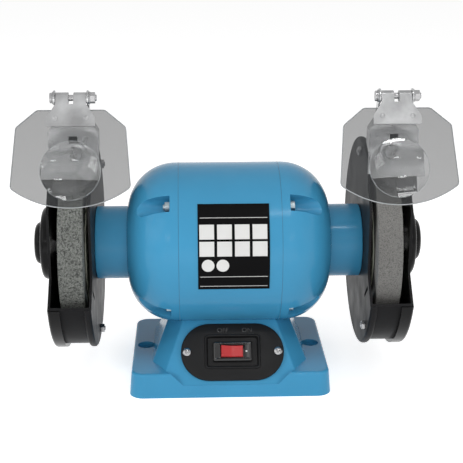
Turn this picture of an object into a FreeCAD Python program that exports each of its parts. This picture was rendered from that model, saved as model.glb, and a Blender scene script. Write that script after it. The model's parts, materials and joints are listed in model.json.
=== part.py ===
"""Bench grinder with two guarded wheels, tilting eye shields and a rocker switch.

Millimetres. The origin is the middle of the base's underside, +X runs to the right along the
spindle, +Y points away from the person at the machine and +Z is up.
"""
import FreeCAD, Part
import Sketcher
import math
import os
from itertools import product
from types import SimpleNamespace

SIZES = {
    # Motor casing
    "axis_height": "117",
    "motor_radius": "68",
    "band_length": "84",
    "housing_wall": "3.5",
    "bell_length": "43.6",
    "bell_wall": "6",
    "bell_straight": "2.8",
    "neck_radius": "31.2",
    "neck_length": "26.6",
    "neck_round": "1",
    "fit_gap": "0.05",
    "run_gap": "0.5",
    # Through bolts and their pockets in the bells
    "bolt_inset": "7",
    "bolt_radius": "2.5",
    "bolt_pocket_radius": "7.5",
    "bolt_pocket_wall": "2.5",
    "bolt_pocket_floor": "7",
    "bolt_head_radius": "4.6",
    "bolt_head_height": "4",
    "bolt_nut_flats": "8",
    "bolt_nut_height": "4",
    "bolt_tail": "1.5",
    # Plain label
    "label_width": "58",
    "label_shift": "2.5",
    "label_start": "46",
    "label_sweep": "61",
    "label_thickness": "0.4",
    # Stator and rotor
    "core_length": "56",
    "air_gap": "0.6",
    "winding_inner": "36",
    "winding_outer": "51",
    "winding_length": "10",
    "winding_round": "4",
    "rotor_radius": "30",
    "rotor_length": "54",
    "cage_inner": "16",
    "cage_outer": "28",
    "cage_length": "6",
    # Shaft and bearings
    "shaft_radius": "9",
    "journal_radius": "7.5",
    "arbor_radius": "6.35",
    "arbor_tail": "5",
    "bearing_radius": "17.5",
    "bearing_width": "11",
    "bearing_inset": "8",
    "inner_race": "10.4",
    "outer_race": "14.6",
    "ball_radius": "1.95",
    # Wheels and what clamps them
    "wheel_radius": "75",
    "wheel_width": "20",
    "wheel_round": "0.8",
    "blotter_radius": "52",
    "blotter_thickness": "0.8",
    "flange_radius": "22.5",
    "flange_thickness": "2.6",
    "flange_hub_radius": "9",
    "flange_gap": "0.6",
    "arbor_nut_flats": "19",
    "arbor_nut_height": "8",
    # Wheel guards
    "guard_clearance": "14",
    "guard_lip": "3",
    "guard_wall": "2",
    "guard_bore_gap": "4",
    "inner_lip_width": "6",
    "cover_lip_width": "10",
    "cover_gap": "7.2",
    "lip_round": "2.5",
    "dome_radius": "31",
    "dome_height": "10.8",
    "dome_round": "4",
    "cap_radius": "18",
    "cap_height": "6.4",
    "cap_round": "4.5",
    # Mouth of each guard, from the spindle axis towards the front and up
    "mouth_back": "60",
    "mouth_floor": "31",
    "mouth_ramp": "20",
    "mouth_ledge": "60",
    # Slot for a tool rest in each guard's inner side
    "rest_slot_front": "55.6",
    "rest_slot_drop": "27.4",
    "rest_slot_length": "20",
    "rest_slot_width": "3",
    "rest_slot_turn": "-40",
    # Cover and guard screws
    "cover_screw_inset": "9",
    "left_screw_low": "269",
    "left_screw_high": "137",
    "left_screw_rear": "203",
    "right_screw_low": "315",
    "right_screw_high": "86",
    "right_screw_rear": "200",
    "cover_screw_radius": "2",
    "cover_screw_head_radius": "3.6",
    "cover_screw_head_height": "2.4",
    "cover_nut_flats": "7",
    "cover_nut_height": "3.2",
    "cover_screw_tail": "0.8",
    "guard_screw_circle": "26.5",
    "guard_screw_radius": "2",
    "guard_screw_head_radius": "3.3",
    "guard_screw_head_height": "2.2",
    "guard_screw_depth": "14",
    # Spark arrestor brackets, with heights from the top of the guards
    "tab_front": "43.2",
    "tab_width": "22",
    "tab_top": "16",
    "slide_gap": "0.1",
    "bracket_shift": "3.5",
    "bracket_width": "40",
    "bracket_sheet": "1.5",
    "bracket_bottom": "-19",
    "bracket_shoulder": "17",
    "bracket_taper": "10",
    "bracket_web_top": "32",
    "bracket_depth": "14",
    "bracket_side_front": "-2",
    "bracket_side_rear": "4",
    "bracket_side_top": "23",
    "slot_width": "6.7",
    "slot_top": "14",
    "bracket_screw_up": "-3",
    "bracket_screw_radius": "3",
    "bracket_screw_head_radius": "5",
    "bracket_screw_head_height": "3.6",
    "bracket_washer_radius": "7.5",
    "bracket_washer_thickness": "1.4",
    "bracket_nut_flats": "10",
    "bracket_nut_height": "5",
    # Shield hinges
    "hinge_up": "45",
    "hinge_radius": "2.5",
    "hinge_gap": "0.06",
    "hinge_side_gap": "0.3",
    "ear_radius": "6",
    "knuckle_radius": "4.4",
    "knuckle_span": "24",
    "knuckle_split": "4",
    "hinge_head_radius": "4.2",
    "hinge_head_height": "2",
    "hinge_washer_radius": "5",
    "hinge_washer_thickness": "1",
    "hinge_nut_flats": "8",
    "hinge_nut_height": "4",
    "hinge_tail": "1.2",
    # Shield clips, eye shields and magnifiers
    "shield_tilt": "27",
    "clip_sheet": "1.2",
    "clip_width": "38",
    "clip_neck": "6",
    "clip_shoulder": "17",
    "clip_drop": "24",
    "shield_thickness": "2.4",
    "shield_top_drop": "10.6",
    "shield_top_width": "53",
    "shield_shoulder_drop": "24.5",
    "shield_shoulder_width": "85.6",
    "shield_corner_drop": "72.5",
    "shield_corner_width": "93",
    "shield_drop": "88.3",
    "shield_round": "4.5",
    "peg_spacing": "24",
    "peg_drop": "17.5",
    "peg_radius": "1.5",
    "lens_radius": "23.5",
    "lens_drop": "59",
    "lens_edge": "0.5",
    "lens_crown": "3",
    # Base casting
    "base_length": "170",
    "base_depth": "130",
    "base_draft": "1.8",
    "base_corner": "12",
    "plinth_height": "21",
    "plinth_round": "2.5",
    "base_wall": "4.5",
    "base_side_wall": "11.5",
    "plinth_roof": "4",
    "base_end_wall": "26",
    "panel_tilt": "37",
    "panel_inset": "1.5",
    "panel_foot": "10.5",
    "panel_foot_width": "80",
    "panel_waist_width": "110",
    "pedestal_top": "62",
    "pedestal_panel_low": "117",
    "pedestal_panel_high": "74",
    "pedestal_side_low": "141",
    "pedestal_side_high": "96",
    "pedestal_corner_share": "0.315",
    "pedestal_round": "3.5",
    "saddle_roof": "6",
    "saddle_bolt_spacing": "50",
    "saddle_bolt_radius": "3",
    "saddle_bolt_head_radius": "5",
    "saddle_bolt_head_height": "4",
    "wire_hole_radius": "6",
    # Bench holes
    "bench_hole_edge": "12.5",
    "bench_hole_radius": "4.25",
    "bench_recess_radius": "7.5",
    "bench_recess_depth": "4",
    # Bottom cover
    "plate_thickness": "1.5",
    "plate_recess": "2.5",
    "plate_gap": "0.5",
    "post_radius": "5.5",
    "post_inset_x": "8",
    "post_inset_y": "7.5",
    "plate_screw_radius": "1.75",
    "plate_screw_head_radius": "3.2",
    "plate_screw_head_height": "1.9",
    "plate_screw_depth": "9",
    # Electrical pieces in the base
    "capacitor_radius": "14",
    "capacitor_length": "52",
    "capacitor_middle": "-16",
    "capacitor_back": "20",
    "clip_band": "12",
    "clip_band_sheet": "1",
    "terminal_length": "30",
    "terminal_width": "16",
    "terminal_height": "14",
    "terminal_edge": "7",
    "terminal_back": "32",
    "gland_inset": "11",
    "gland_up": "11.5",
    "gland_radius": "6.5",
    "gland_bore": "4",
    "gland_flange_radius": "9",
    "gland_flange_thickness": "3",
    "gland_seat": "3.5",
    "gland_length": "12",
    # Switch on the slanted panel
    "switch_shift": "2",
    "switch_up": "28.2",
    "switch_plate_width": "87",
    "switch_plate_height": "49",
    "switch_plate_thickness": "2.5",
    "switch_plate_round": "0.8",
    "switch_frame_width": "46",
    "switch_frame_height": "28.6",
    "switch_frame_rise": "1.6",
    "switch_frame_wall": "1.8",
    "switch_screw_edge": "5",
    "switch_screw_radius": "1.75",
    "switch_screw_head_radius": "3.65",
    "switch_screw_head_height": "2",
    "switch_screw_depth": "9",
    "bezel_width": "33",
    "bezel_height": "17",
    "bezel_rise": "2",
    "bezel_gap": "0.3",
    "switch_body_width": "29",
    "switch_body_height": "13.5",
    "switch_body_depth": "20",
    "rocker_width": "20",
    "rocker_height": "11",
    "rocker_rise": "1.6",
    "rocker_dip": "0.7",
    "rocker_angle": "8",
    "rocker_pivot": "3",
    "rocker_gap": "0.8",
    "rocker_floor": "2.5",
}

doc = FreeCAD.newDocument("bench_grinder")
sheet = doc.addObject("Spreadsheet::Sheet", "sizes")
for row, (alias, number) in enumerate(SIZES.items(), start=1):
    sheet.set(f"A{row}", alias)
    sheet.set(f"B{row}", number)
    sheet.setAlias(f"B{row}", alias)
doc.recompute()


class Size:
    """A length or angle that carries its number and the sheet expression behind it."""

    def __init__(self, number, text):
        self.number = number
        self.text = text

    def __add__(self, other):
        other = size_of(other)
        return Size(self.number + other.number, f"({self.text} + {other.text})")

    def __sub__(self, other):
        other = size_of(other)
        return Size(self.number - other.number, f"({self.text} - {other.text})")

    def __mul__(self, other):
        other = size_of(other)
        return Size(self.number * other.number, f"({self.text} * {other.text})")

    def __truediv__(self, other):
        other = size_of(other)
        return Size(self.number / other.number, f"({self.text} / {other.text})")

    def __radd__(self, other):
        return size_of(other) + self

    def __rsub__(self, other):
        return size_of(other) - self

    def __rmul__(self, other):
        return size_of(other) * self

    def __neg__(self):
        return size_of(0) - self


def size_of(thing):
    """Any plain number as a Size."""
    if isinstance(thing, Size):
        return thing
    return Size(float(thing), f"({float(thing):.6f})")


def root(size):
    return Size(math.sqrt(size.number), f"sqrt({size.text})")


def sine(angle):
    angle = size_of(angle)
    return Size(math.sin(math.radians(angle.number)), f"sin({angle.text})")


def cosine(angle):
    angle = size_of(angle)
    return Size(math.cos(math.radians(angle.number)), f"cos({angle.text})")


def least(first, second):
    """The smaller of two sizes, which keeps a rounding inside its wall."""
    first, second = size_of(first), size_of(second)
    return Size(min(first.number, second.number), f"min({first.text}; {second.text})")


d = SimpleNamespace(**{alias: Size(float(number), f"sizes.{alias}") for alias, number in SIZES.items()})
SIDES = (("left", -1), ("right", 1))
nodes = []


def node(label, thing):
    """Name a finished piece and keep it for the parts folder."""
    thing.Label = label
    nodes.append(thing)
    return thing


def bind(thing, path, size):
    thing.setExpression(path, size_of(size).text)


def set_place(thing, x=0, y=0, z=0):
    for axis, size in (("x", x), ("y", y), ("z", z)):
        bind(thing, f"Placement.Base.{axis}", size)


def set_turn(thing, axis, angle):
    """Turn a piece about an axis through its own origin."""
    angle = size_of(angle)
    thing.Placement = FreeCAD.Placement(FreeCAD.Vector(), FreeCAD.Rotation(axis, angle.number))
    bind(thing, "Placement.Rotation.Angle", angle)


X_AXIS = FreeCAD.Vector(1, 0, 0)
Y_AXIS = FreeCAD.Vector(0, 1, 0)


def in_order(span):
    """The two ends of a span, lower one first."""
    return sorted((size_of(span[0]), size_of(span[1])), key=lambda size: size.number)


def block(name, x_span, y_span, z_span):
    thing = doc.addObject("Part::Box", name)
    spans = [in_order(span) for span in (x_span, y_span, z_span)]
    for side, (low, high) in zip(("Length", "Width", "Height"), spans):
        bind(thing, side, high - low)
    set_place(thing, *(low for low, high in spans))
    return thing


def along(thing, axis, span, centre):
    """Lay an upright bar along X, Y or Z from one end of span to the other."""
    low, high = in_order(span)
    bind(thing, "Height", high - low)
    first, second = centre
    if axis == "x":
        thing.Placement = FreeCAD.Placement(FreeCAD.Vector(), FreeCAD.Rotation(Y_AXIS, 90))
        set_place(thing, low, first, second)
    elif axis == "y":
        thing.Placement = FreeCAD.Placement(FreeCAD.Vector(), FreeCAD.Rotation(X_AXIS, -90))
        set_place(thing, first, low, second)
    else:
        set_place(thing, first, second, low)
    return thing


def rod(name, axis, span, centre, radius):
    thing = doc.addObject("Part::Cylinder", name)
    bind(thing, "Radius", radius)
    return along(thing, axis, span, centre)


def hexagon(name, axis, span, centre, flats):
    thing = doc.addObject("Part::Prism", name)
    thing.Polygon = 6
    bind(thing, "Circumradius", flats / root(size_of(3)))
    return along(thing, axis, span, centre)


def fuse(name, *pieces):
    thing = doc.addObject("Part::MultiFuse", name)
    thing.Shapes = list(pieces)
    thing.Refine = True
    return thing


def group(name, *pieces):
    """Separate solids that share one node."""
    thing = doc.addObject("Part::Compound", name)
    thing.Links = list(pieces)
    return thing


def cut(name, base, *tools):
    thing = doc.addObject("Part::Cut", name)
    thing.Base = base
    thing.Tool = tools[0] if len(tools) == 1 else fuse(f"{name}_cutters", *tools)
    return thing


def common(name, *pieces):
    thing = doc.addObject("Part::MultiCommon", name)
    thing.Shapes = list(pieces)
    return thing


def sketch_in(body, name, role, offset):
    """A sketch on one of the body's own planes, moved along that plane's normal."""
    sketch = body.newObject("Sketcher::SketchObject", name)
    plane = next(feature for feature in body.Origin.OriginFeatures if feature.Role == role)
    sketch.AttachmentSupport = (plane, [""])
    sketch.MapMode = "FlatFace"
    bind(sketch, "AttachmentOffset.Base.z", offset)
    return sketch


def hold(sketch, kind, target, size):
    """Constrain a corner or an edge of a sketch to a size of the sheet."""
    size = size_of(size)
    index = sketch.addConstraint(Sketcher.Constraint(kind, *target, size.number))
    sketch.setExpression(f"Constraints[{index}]", size.text)


def draw_outline(sketch, corners, arcs=None):
    """A closed outline, each corner held from the sketch's origin; arcs maps an edge to its radius.

    Edge i runs from corner i to the next one, and an arc turns anticlockwise.
    """
    arcs = arcs or {}
    corners = [(size_of(u), size_of(v)) for u, v in corners]
    first = sketch.GeometryCount
    points = [FreeCAD.Vector(u.number, v.number, 0) for u, v in corners]
    count = len(points)
    for index, start in enumerate(points):
        end = points[(index + 1) % count]
        edge = Part.LineSegment(start, end)
        if index in arcs:
            chord = end - start
            left = FreeCAD.Vector(-chord.y, chord.x, 0).normalize()
            rise = math.sqrt(arcs[index].number ** 2 - chord.Length ** 2 / 4)
            centre = (start + end) * 0.5 + left * rise
            circle = Part.Circle(centre, FreeCAD.Vector(0, 0, 1), arcs[index].number)
            edge = Part.ArcOfCircle(circle, circle.parameter(start), circle.parameter(end))
        sketch.addGeometry(edge, False)
    for index in range(count):
        sketch.addConstraint(
            Sketcher.Constraint("Coincident", first + index, 2, first + (index + 1) % count, 1))
    for index, (u, v) in enumerate(corners):
        hold(sketch, "DistanceX", (-1, 1, first + index, 1), u)
        hold(sketch, "DistanceY", (-1, 1, first + index, 1), v)
    for index, radius in arcs.items():
        hold(sketch, "Radius", (first + index,), radius)


def pad(body, name, role, span, outlines, arcs=None):
    """Raise outlines from one end of span to the other, along the plane's normal."""
    low, high = in_order(span)
    sketch = sketch_in(body, f"{name}_outline", role, low)
    for corners in outlines:
        draw_outline(sketch, corners, arcs)
    feature = body.newObject("PartDesign::Pad", f"{name}_pad")
    feature.Profile = (sketch, [""])
    bind(feature, "Length", high - low)
    return body


def new_body(name, place_in):
    body = doc.addObject("PartDesign::Body", name)
    place_in(body)
    return body


def prism(name, place_in, role, span, *outlines, arcs=None):
    return pad(new_body(name, place_in), name, role, span, outlines, arcs)


def post(name, place_in, centre, radius, span, role="XY_Plane"):
    """A round pin that stands on one of a frame's planes."""
    body = new_body(name, place_in)
    low, high = in_order(span)
    sketch = sketch_in(body, f"{name}_outline", role, low)
    u, v = (size_of(size) for size in centre)
    radius = size_of(radius)
    middle = FreeCAD.Vector(u.number, v.number, 0)
    sketch.addGeometry(Part.Circle(middle, FreeCAD.Vector(0, 0, 1), radius.number), False)
    hold(sketch, "DistanceX", (-1, 1, 0, 3), u)
    hold(sketch, "DistanceY", (-1, 1, 0, 3), v)
    hold(sketch, "Radius", (0,), radius)
    feature = body.newObject("PartDesign::Pad", f"{name}_pad")
    feature.Profile = (sketch, [""])
    bind(feature, "Length", high - low)
    return body


def turned(name, place_in, corners, sweep=360, arcs=None, axis="H_Axis", offset=0):
    """Turn an outline of the XZ plane about the plane's own X axis, or about its upright one."""
    body = new_body(name, place_in)
    sketch = sketch_in(body, f"{name}_outline", "XZ_Plane", offset)
    draw_outline(sketch, corners, arcs)
    feature = body.newObject("PartDesign::Revolution", f"{name}_turn")
    feature.Profile = (sketch, [""])
    feature.ReferenceAxis = (sketch, [axis])
    bind(feature, "Angle", sweep)
    return body


def lofted(name, heights, lower, upper, lower_arcs=None, upper_arcs=None):
    """Straight sides between two level outlines with as many corners, one above the other."""
    sketches = []
    for height, corners, arcs in ((heights[0], lower, lower_arcs), (heights[1], upper, upper_arcs)):
        sketch = doc.addObject("Sketcher::SketchObject", f"{name}_outline_{len(sketches)}")
        set_place(sketch, z=height)
        draw_outline(sketch, corners, arcs)
        sketches.append(sketch)
    thing = doc.addObject("Part::Loft", f"{name}_loft")
    thing.Sections = sketches
    thing.Solid = True
    thing.Ruled = True
    plain = doc.addObject("Part::Refine", name)
    plain.Source = thing
    return plain


def softened(name, base, radius, wanted):
    """Round the edges of a lofted piece that the test picks."""
    doc.recompute()
    thing = doc.addObject("Part::Fillet", name)
    thing.Base = base
    thing.Edges = [(i, radius.number, radius.number)
                   for i, edge in enumerate(base.Shape.Edges, start=1) if wanted(edge)]
    return thing


def rounded(body, radius, wanted):
    """Round the edges of a body that the test picks."""
    doc.recompute()
    base = body.Tip
    picked = [f"Edge{i}" for i, edge in enumerate(base.Shape.Edges, start=1) if wanted(edge)]
    feature = body.newObject("PartDesign::Fillet", f"{body.Name}_round{len(body.Group)}")
    feature.Base = (base, picked)
    bind(feature, "Radius", radius)
    return body


NEAR = 1e-3


def ring_at(x, radius):
    """Picks the turned edge at a place along the spindle and at a radius."""
    x, radius = size_of(x).number, size_of(radius).number

    def wanted(edge):
        middle = edge.Vertexes[0].Point
        return (abs(middle.x - x) < NEAR
                and abs(math.hypot(middle.y, middle.z) - radius) < NEAR
                and abs(edge.BoundBox.XLength) < NEAR)
    return wanted


def upright(edge):
    """Picks the edges that climb from a flat outline."""
    return edge.BoundBox.ZLength > NEAR


def flat_at(height):
    """Picks the edges that lie in a level plane."""
    height = size_of(height).number

    def wanted(edge):
        box = edge.BoundBox
        return abs(box.ZMin - height) < NEAR and abs(box.ZMax - height) < NEAR
    return wanted


def at_axis(body):
    """The spindle's frame: X along the spindle, from the middle of the motor."""
    set_place(body, z=d.axis_height)


def polar(radius, angle):
    """Y and Z of a point round the spindle; the angle climbs from the front."""
    return -radius * cosine(angle), d.axis_height + radius * sine(angle)


def rectangle(u_span, v_span):
    (u_low, u_high), (v_low, v_high) = in_order(u_span), in_order(v_span)
    return [(u_low, v_low), (u_high, v_low), (u_high, v_high), (u_low, v_high)]


def soft_rectangle(half_u, half_v, radius):
    """A rectangle round the origin with rounded corners, as its corners and its arcs."""
    u, v = half_u - radius, half_v - radius
    corners = [
        (-u, -half_v),
        (u, -half_v),
        (half_u, -v),
        (half_u, v),
        (u, half_v),
        (-u, half_v),
        (-half_u, v),
        (-half_u, -v),
    ]
    return corners, {edge: radius for edge in (1, 3, 5, 7)}


def facing(sign, corners, arcs):
    """An outline drawn for the machine's right end, or its mirror for the left one."""
    if sign > 0:
        return corners, arcs
    mirrored = [(-size_of(u), v) for u, v in reversed(corners)]
    return mirrored, {len(corners) - 2 - edge: radius for edge, radius in arcs.items()}


def tube(name, x_span, inner, outer):
    """A round sleeve on the spindle's axis."""
    return turned(name, at_axis, rectangle(x_span, (inner, outer)))


# Places along the spindle, outwards from the middle; both ends of the machine are alike
seam = d.band_length / 2
bell_end = seam + d.bell_length
neck_end = bell_end + d.neck_length
bearing_end = neck_end - d.bearing_inset
bearing_start = bearing_end - d.bearing_width
plate_end = neck_end + d.guard_wall
flange_start = plate_end + d.flange_gap
blotter_start = flange_start + d.flange_thickness
wheel_start = blotter_start + d.blotter_thickness
wheel_end = wheel_start + d.wheel_width
outer_flange_start = wheel_end + d.blotter_thickness
arbor_nut_start = outer_flange_start + d.flange_thickness
arbor_nut_end = arbor_nut_start + d.arbor_nut_height
arbor_end = arbor_nut_end + d.arbor_tail
cover_start = wheel_end + d.cover_gap
cover_end = cover_start + d.guard_wall
dome_end = cover_end + d.dome_height
cap_end = dome_end + d.cap_height

# Each bell ends in a round that leaves the motor's skin smoothly and runs into the neck
bell_shoulder = seam + d.bell_straight
bell_run = d.bell_length - d.bell_straight
bell_drop = d.motor_radius - d.neck_radius
bell_round = (bell_run * bell_run + bell_drop * bell_drop) / (2 * bell_drop)
hollow_end = bell_shoulder + bell_round - d.bell_wall

housing_bore = d.motor_radius - d.housing_wall
bolt_circle = d.motor_radius - d.bolt_inset
bolt_angles = [45 + 90 * quarter for quarter in range(4)]
pocket_floor = seam + d.bolt_pocket_floor
motor_bottom = d.axis_height - d.motor_radius
guard_screw_spots = [polar(d.guard_screw_circle, 90 + 120 * third) for third in range(3)]
saddle_bolt_xs = (-d.saddle_bolt_spacing / 2, d.saddle_bolt_spacing / 2)


def make_housing():
    shell = tube("housing_shell", (-seam, seam), housing_bore, d.motor_radius)
    drill = (motor_bottom - d.run_gap, motor_bottom + d.housing_wall + d.run_gap)
    taps = [rod(f"housing_tap_{i}", "z", drill, (x, 0), d.saddle_bolt_radius + d.fit_gap)
            for i, x in enumerate(saddle_bolt_xs)]
    wires = rod("housing_wire_hole", "z", drill, (0, 0), d.wire_hole_radius)
    node("stator_housing", cut("housing", shell, *taps, wires))


def bolt_trough(name, sign, angle):
    """Room outward of one bolt's head, open through the bell's skin."""
    outward = (cosine(angle), sine(angle))
    corners = []
    for reach, hand in ((bolt_circle, -1), (d.motor_radius * 2, -1), (d.motor_radius * 2, 1), (bolt_circle, 1)):
        across = hand * d.bolt_pocket_radius
        corners.append((across * outward[1] - reach * outward[0], reach * outward[1] + across * outward[0]))
    return prism(name, at_axis, "YZ_Plane", (sign * pocket_floor, sign * bell_end), corners)


def make_bell(side, sign):
    name = f"{side}_bell"
    outline, arcs = facing(sign, [
        (seam, 0),
        (neck_end, 0),
        (neck_end, d.neck_radius),
        (bell_end, d.neck_radius),
        (bell_shoulder, d.motor_radius),
        (seam, d.motor_radius),
    ], {3: bell_round})
    blank = turned(f"{name}_blank", at_axis, outline, arcs=arcs)
    rounded(blank, d.neck_round, ring_at(sign * neck_end, d.neck_radius))
    hollow_radius = d.motor_radius - d.bell_wall
    outline, arcs = facing(sign, [
        (seam, 0),
        (hollow_end, 0),
        (hollow_end, d.motor_radius - bell_round),
        (bell_shoulder, hollow_radius),
        (seam, hollow_radius),
    ], {2: bell_round - d.bell_wall})
    hollow = turned(f"{name}_hollow", at_axis, outline, arcs=arcs)
    boss_radius = d.bolt_pocket_radius + d.bolt_pocket_wall
    bosses, drills = [], []
    for index, angle in enumerate(bolt_angles):
        spot = polar(bolt_circle, angle)
        bosses.append(rod(f"{name}_boss_{index}", "x", (sign * seam, sign * bell_end), spot, boss_radius))
        drills.append(rod(f"{name}_pocket_{index}", "x", (sign * pocket_floor, sign * bell_end), spot,
                          d.bolt_pocket_radius))
        drills.append(bolt_trough(f"{name}_trough_{index}", sign, angle))
        drills.append(rod(f"{name}_bolt_hole_{index}", "x", (sign * seam, sign * pocket_floor), spot,
                          d.bolt_radius + d.fit_gap))
    room = cut(f"{name}_room", hollow, *bosses)
    axis_spot = (0, d.axis_height)
    seat = rod(f"{name}_bearing_seat", "x", (sign * hollow_end, sign * bearing_end), axis_spot,
               d.bearing_radius + d.fit_gap)
    bore = rod(f"{name}_bore", "x", (sign * bearing_end, sign * neck_end), axis_spot,
               d.flange_hub_radius + d.run_gap)
    taps = [rod(f"{name}_guard_tap_{i}", "x", (sign * neck_end, sign * (neck_end - d.guard_screw_depth)),
                spot, d.guard_screw_radius + d.fit_gap)
            for i, spot in enumerate(guard_screw_spots)]
    node(f"{side}_end_bell", cut(name, blank, room, seat, bore, *drills, *taps))


def make_through_bolts():
    bolts, nuts = [], []
    for index, angle in enumerate(bolt_angles):
        spot = polar(bolt_circle, angle)
        nut_end = -pocket_floor - d.bolt_nut_height
        shank = rod(f"through_shank_{index}", "x", (nut_end - d.bolt_tail, pocket_floor), spot, d.bolt_radius)
        head = rod(f"through_head_{index}", "x", (pocket_floor, pocket_floor + d.bolt_head_height), spot,
                   d.bolt_head_radius)
        bolts.append(fuse(f"through_bolt_{index}", shank, head))
        nut = hexagon(f"through_nut_blank_{index}", "x", (nut_end, -pocket_floor), spot, d.bolt_nut_flats)
        thread = rod(f"through_nut_thread_{index}", "x", (nut_end, -pocket_floor), spot,
                     d.bolt_radius + d.fit_gap)
        nuts.append(cut(f"through_nut_{index}", nut, thread))
    node("through_bolts", group("through_bolt_set", *bolts))
    node("through_bolt_nuts", group("through_nut_set", *nuts))


def make_label():
    def on_motor_front(body):
        set_turn(body, X_AXIS, d.label_start)
        set_place(body, z=d.axis_height)
    x_span = (d.label_shift - d.label_width / 2, d.label_shift + d.label_width / 2)
    skin = (d.motor_radius, d.motor_radius + d.label_thickness)
    node("rating_label", turned("label_sheet", on_motor_front, rectangle(x_span, skin), d.label_sweep))


def make_stator():
    half = d.core_length / 2
    bore = d.rotor_radius + d.air_gap
    ring = tube("core_ring", (-half, half), bore, housing_bore - d.fit_gap)
    holes = [rod(f"core_hole_{i}", "x", (-half, half), polar(bolt_circle, angle),
                 d.bolt_radius + d.fit_gap) for i, angle in enumerate(bolt_angles)]
    node("stator_core", cut("core", ring, *holes))
    coils = []
    for side, sign in SIDES:
        end = half + d.winding_length
        coil = tube(f"{side}_coil", (sign * half, sign * end), d.winding_inner, d.winding_outer)
        for radius in (d.winding_inner, d.winding_outer):
            rounded(coil, d.winding_round, ring_at(sign * end, radius))
        coils.append(coil)
    node("stator_windings", group("coil_set", *coils))


def make_shaft():
    half = [
        (bearing_start, d.shaft_radius),
        (bearing_start, d.journal_radius),
        (bearing_end, d.journal_radius),
        (bearing_end, d.arbor_radius),
        (arbor_end, d.arbor_radius),
    ]
    right = half + [(arbor_end, 0)]
    left = [(-arbor_end, 0)] + [(-x, radius) for x, radius in reversed(half)]
    node("shaft", turned("shaft_bar", at_axis, left + right))


def make_rotor():
    half = d.rotor_length / 2
    bore = d.shaft_radius + d.fit_gap
    node("rotor_core", tube("rotor_stack", (-half, half), bore, d.rotor_radius))
    rings = [tube(f"{side}_cage_ring", (sign * half, sign * (half + d.cage_length)), d.cage_inner,
                  d.cage_outer) for side, sign in SIDES]
    node("rotor_cage", group("cage_rings", *rings))


def make_bearings():
    inner, outer, balls = [], [], []
    pitch = d.inner_race + d.fit_gap + d.ball_radius
    ball_count = 8
    for side, sign in SIDES:
        span = (sign * bearing_start, sign * bearing_end)
        inner.append(tube(f"{side}_inner_ring", span, d.journal_radius + d.fit_gap, d.inner_race))
        outer.append(tube(f"{side}_outer_ring", span, d.outer_race, d.bearing_radius))
        for index in range(ball_count):
            ball = doc.addObject("Part::Sphere", f"{side}_ball_{index}")
            bind(ball, "Radius", d.ball_radius)
            set_place(ball, sign * (bearing_start + bearing_end) / 2,
                      *polar(pitch, index * 360 / ball_count))
            balls.append(ball)
    node("bearing_inner_rings", group("inner_ring_set", *inner))
    node("bearing_outer_rings", group("outer_ring_set", *outer))
    node("bearing_balls", group("ball_set", *balls))


def make_wheel(side, sign):
    bore = d.arbor_radius + d.fit_gap
    wheel = tube(f"{side}_stone", (sign * wheel_start, sign * wheel_end), bore, d.wheel_radius)
    for face in (wheel_start, wheel_end):
        rounded(wheel, d.wheel_round, ring_at(sign * face, d.wheel_radius))
    node(f"{side}_wheel", wheel)
    node(f"{side}_inner_flange", turned(f"{side}_inner_cup", at_axis, [
        (sign * bearing_end, bore),
        (sign * blotter_start, bore),
        (sign * blotter_start, d.flange_radius),
        (sign * flange_start, d.flange_radius),
        (sign * flange_start, d.flange_hub_radius),
        (sign * bearing_end, d.flange_hub_radius),
    ]))
    node(f"{side}_outer_flange", tube(f"{side}_outer_cup", (sign * outer_flange_start, sign * arbor_nut_start),
                                      bore, d.flange_radius))


def make_wheel_clamps():
    """Paper discs on both faces of each wheel, and the nuts that hold the wheels."""
    papers, nuts = [], []
    bore = d.arbor_radius + d.fit_gap
    axis_spot = (0, d.axis_height)
    for side, sign in SIDES:
        for face, x in (("inner", blotter_start), ("outer", wheel_end)):
            papers.append(tube(f"{side}_{face}_paper", (sign * x, sign * (x + d.blotter_thickness)), bore,
                               d.blotter_radius))
        nut_span = (sign * arbor_nut_start, sign * arbor_nut_end)
        blank = hexagon(f"{side}_arbor_blank", "x", nut_span, axis_spot, d.arbor_nut_flats)
        thread = rod(f"{side}_arbor_thread", "x", nut_span, axis_spot, bore)
        nuts.append(cut(f"{side}_arbor_nut", blank, thread))
    node("wheel_blotters", group("blotter_set", *papers))
    node("arbor_nuts", group("arbor_nut_set", *nuts))


guard_radius = d.wheel_radius + d.guard_clearance
guard_top = d.axis_height + guard_radius
mouth_reach = guard_radius * 2
band_outer = guard_radius - d.guard_lip
band_inner = band_outer - d.guard_wall
lip_round = least(d.lip_round, least(d.guard_lip, d.inner_lip_width / 2) - d.fit_gap)
web_back = d.tab_front + d.slide_gap
web_front = web_back + d.bracket_sheet
hinge_height = guard_top + d.hinge_up
ear_inner = d.knuckle_span / 2 + d.hinge_side_gap
ear_outer = ear_inner + d.bracket_sheet


def side_middle(sign):
    """Middle of one side's bracket and shield along the spindle."""
    return sign * (wheel_start + wheel_end) / 2 + d.bracket_shift


def cover_screw_spots(sign):
    """Where one side's cover is screwed to its guard, round the spindle."""
    angles = (d.right_screw_low, d.right_screw_high, d.right_screw_rear)
    if sign < 0:
        angles = (d.left_screw_low, d.left_screw_high, d.left_screw_rear)
    return [polar(guard_radius - d.cover_screw_inset, angle) for angle in angles]


def mouth(name, sign):
    """The room at the front of a guard where the wheel shows, as seen from the side."""
    return prism(name, at_axis, "YZ_Plane", (sign * bell_end, sign * cap_end), [
        (-d.tab_front, mouth_reach),
        (-d.tab_front, d.mouth_ledge),
        (-d.mouth_back, d.mouth_ledge - (d.mouth_back - d.tab_front)),
        (-d.mouth_back, d.mouth_ramp - d.mouth_floor),
        (-d.mouth_back - d.mouth_ramp, -d.mouth_floor),
        (-mouth_reach, -d.mouth_floor),
        (-mouth_reach, mouth_reach),
    ])


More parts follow.
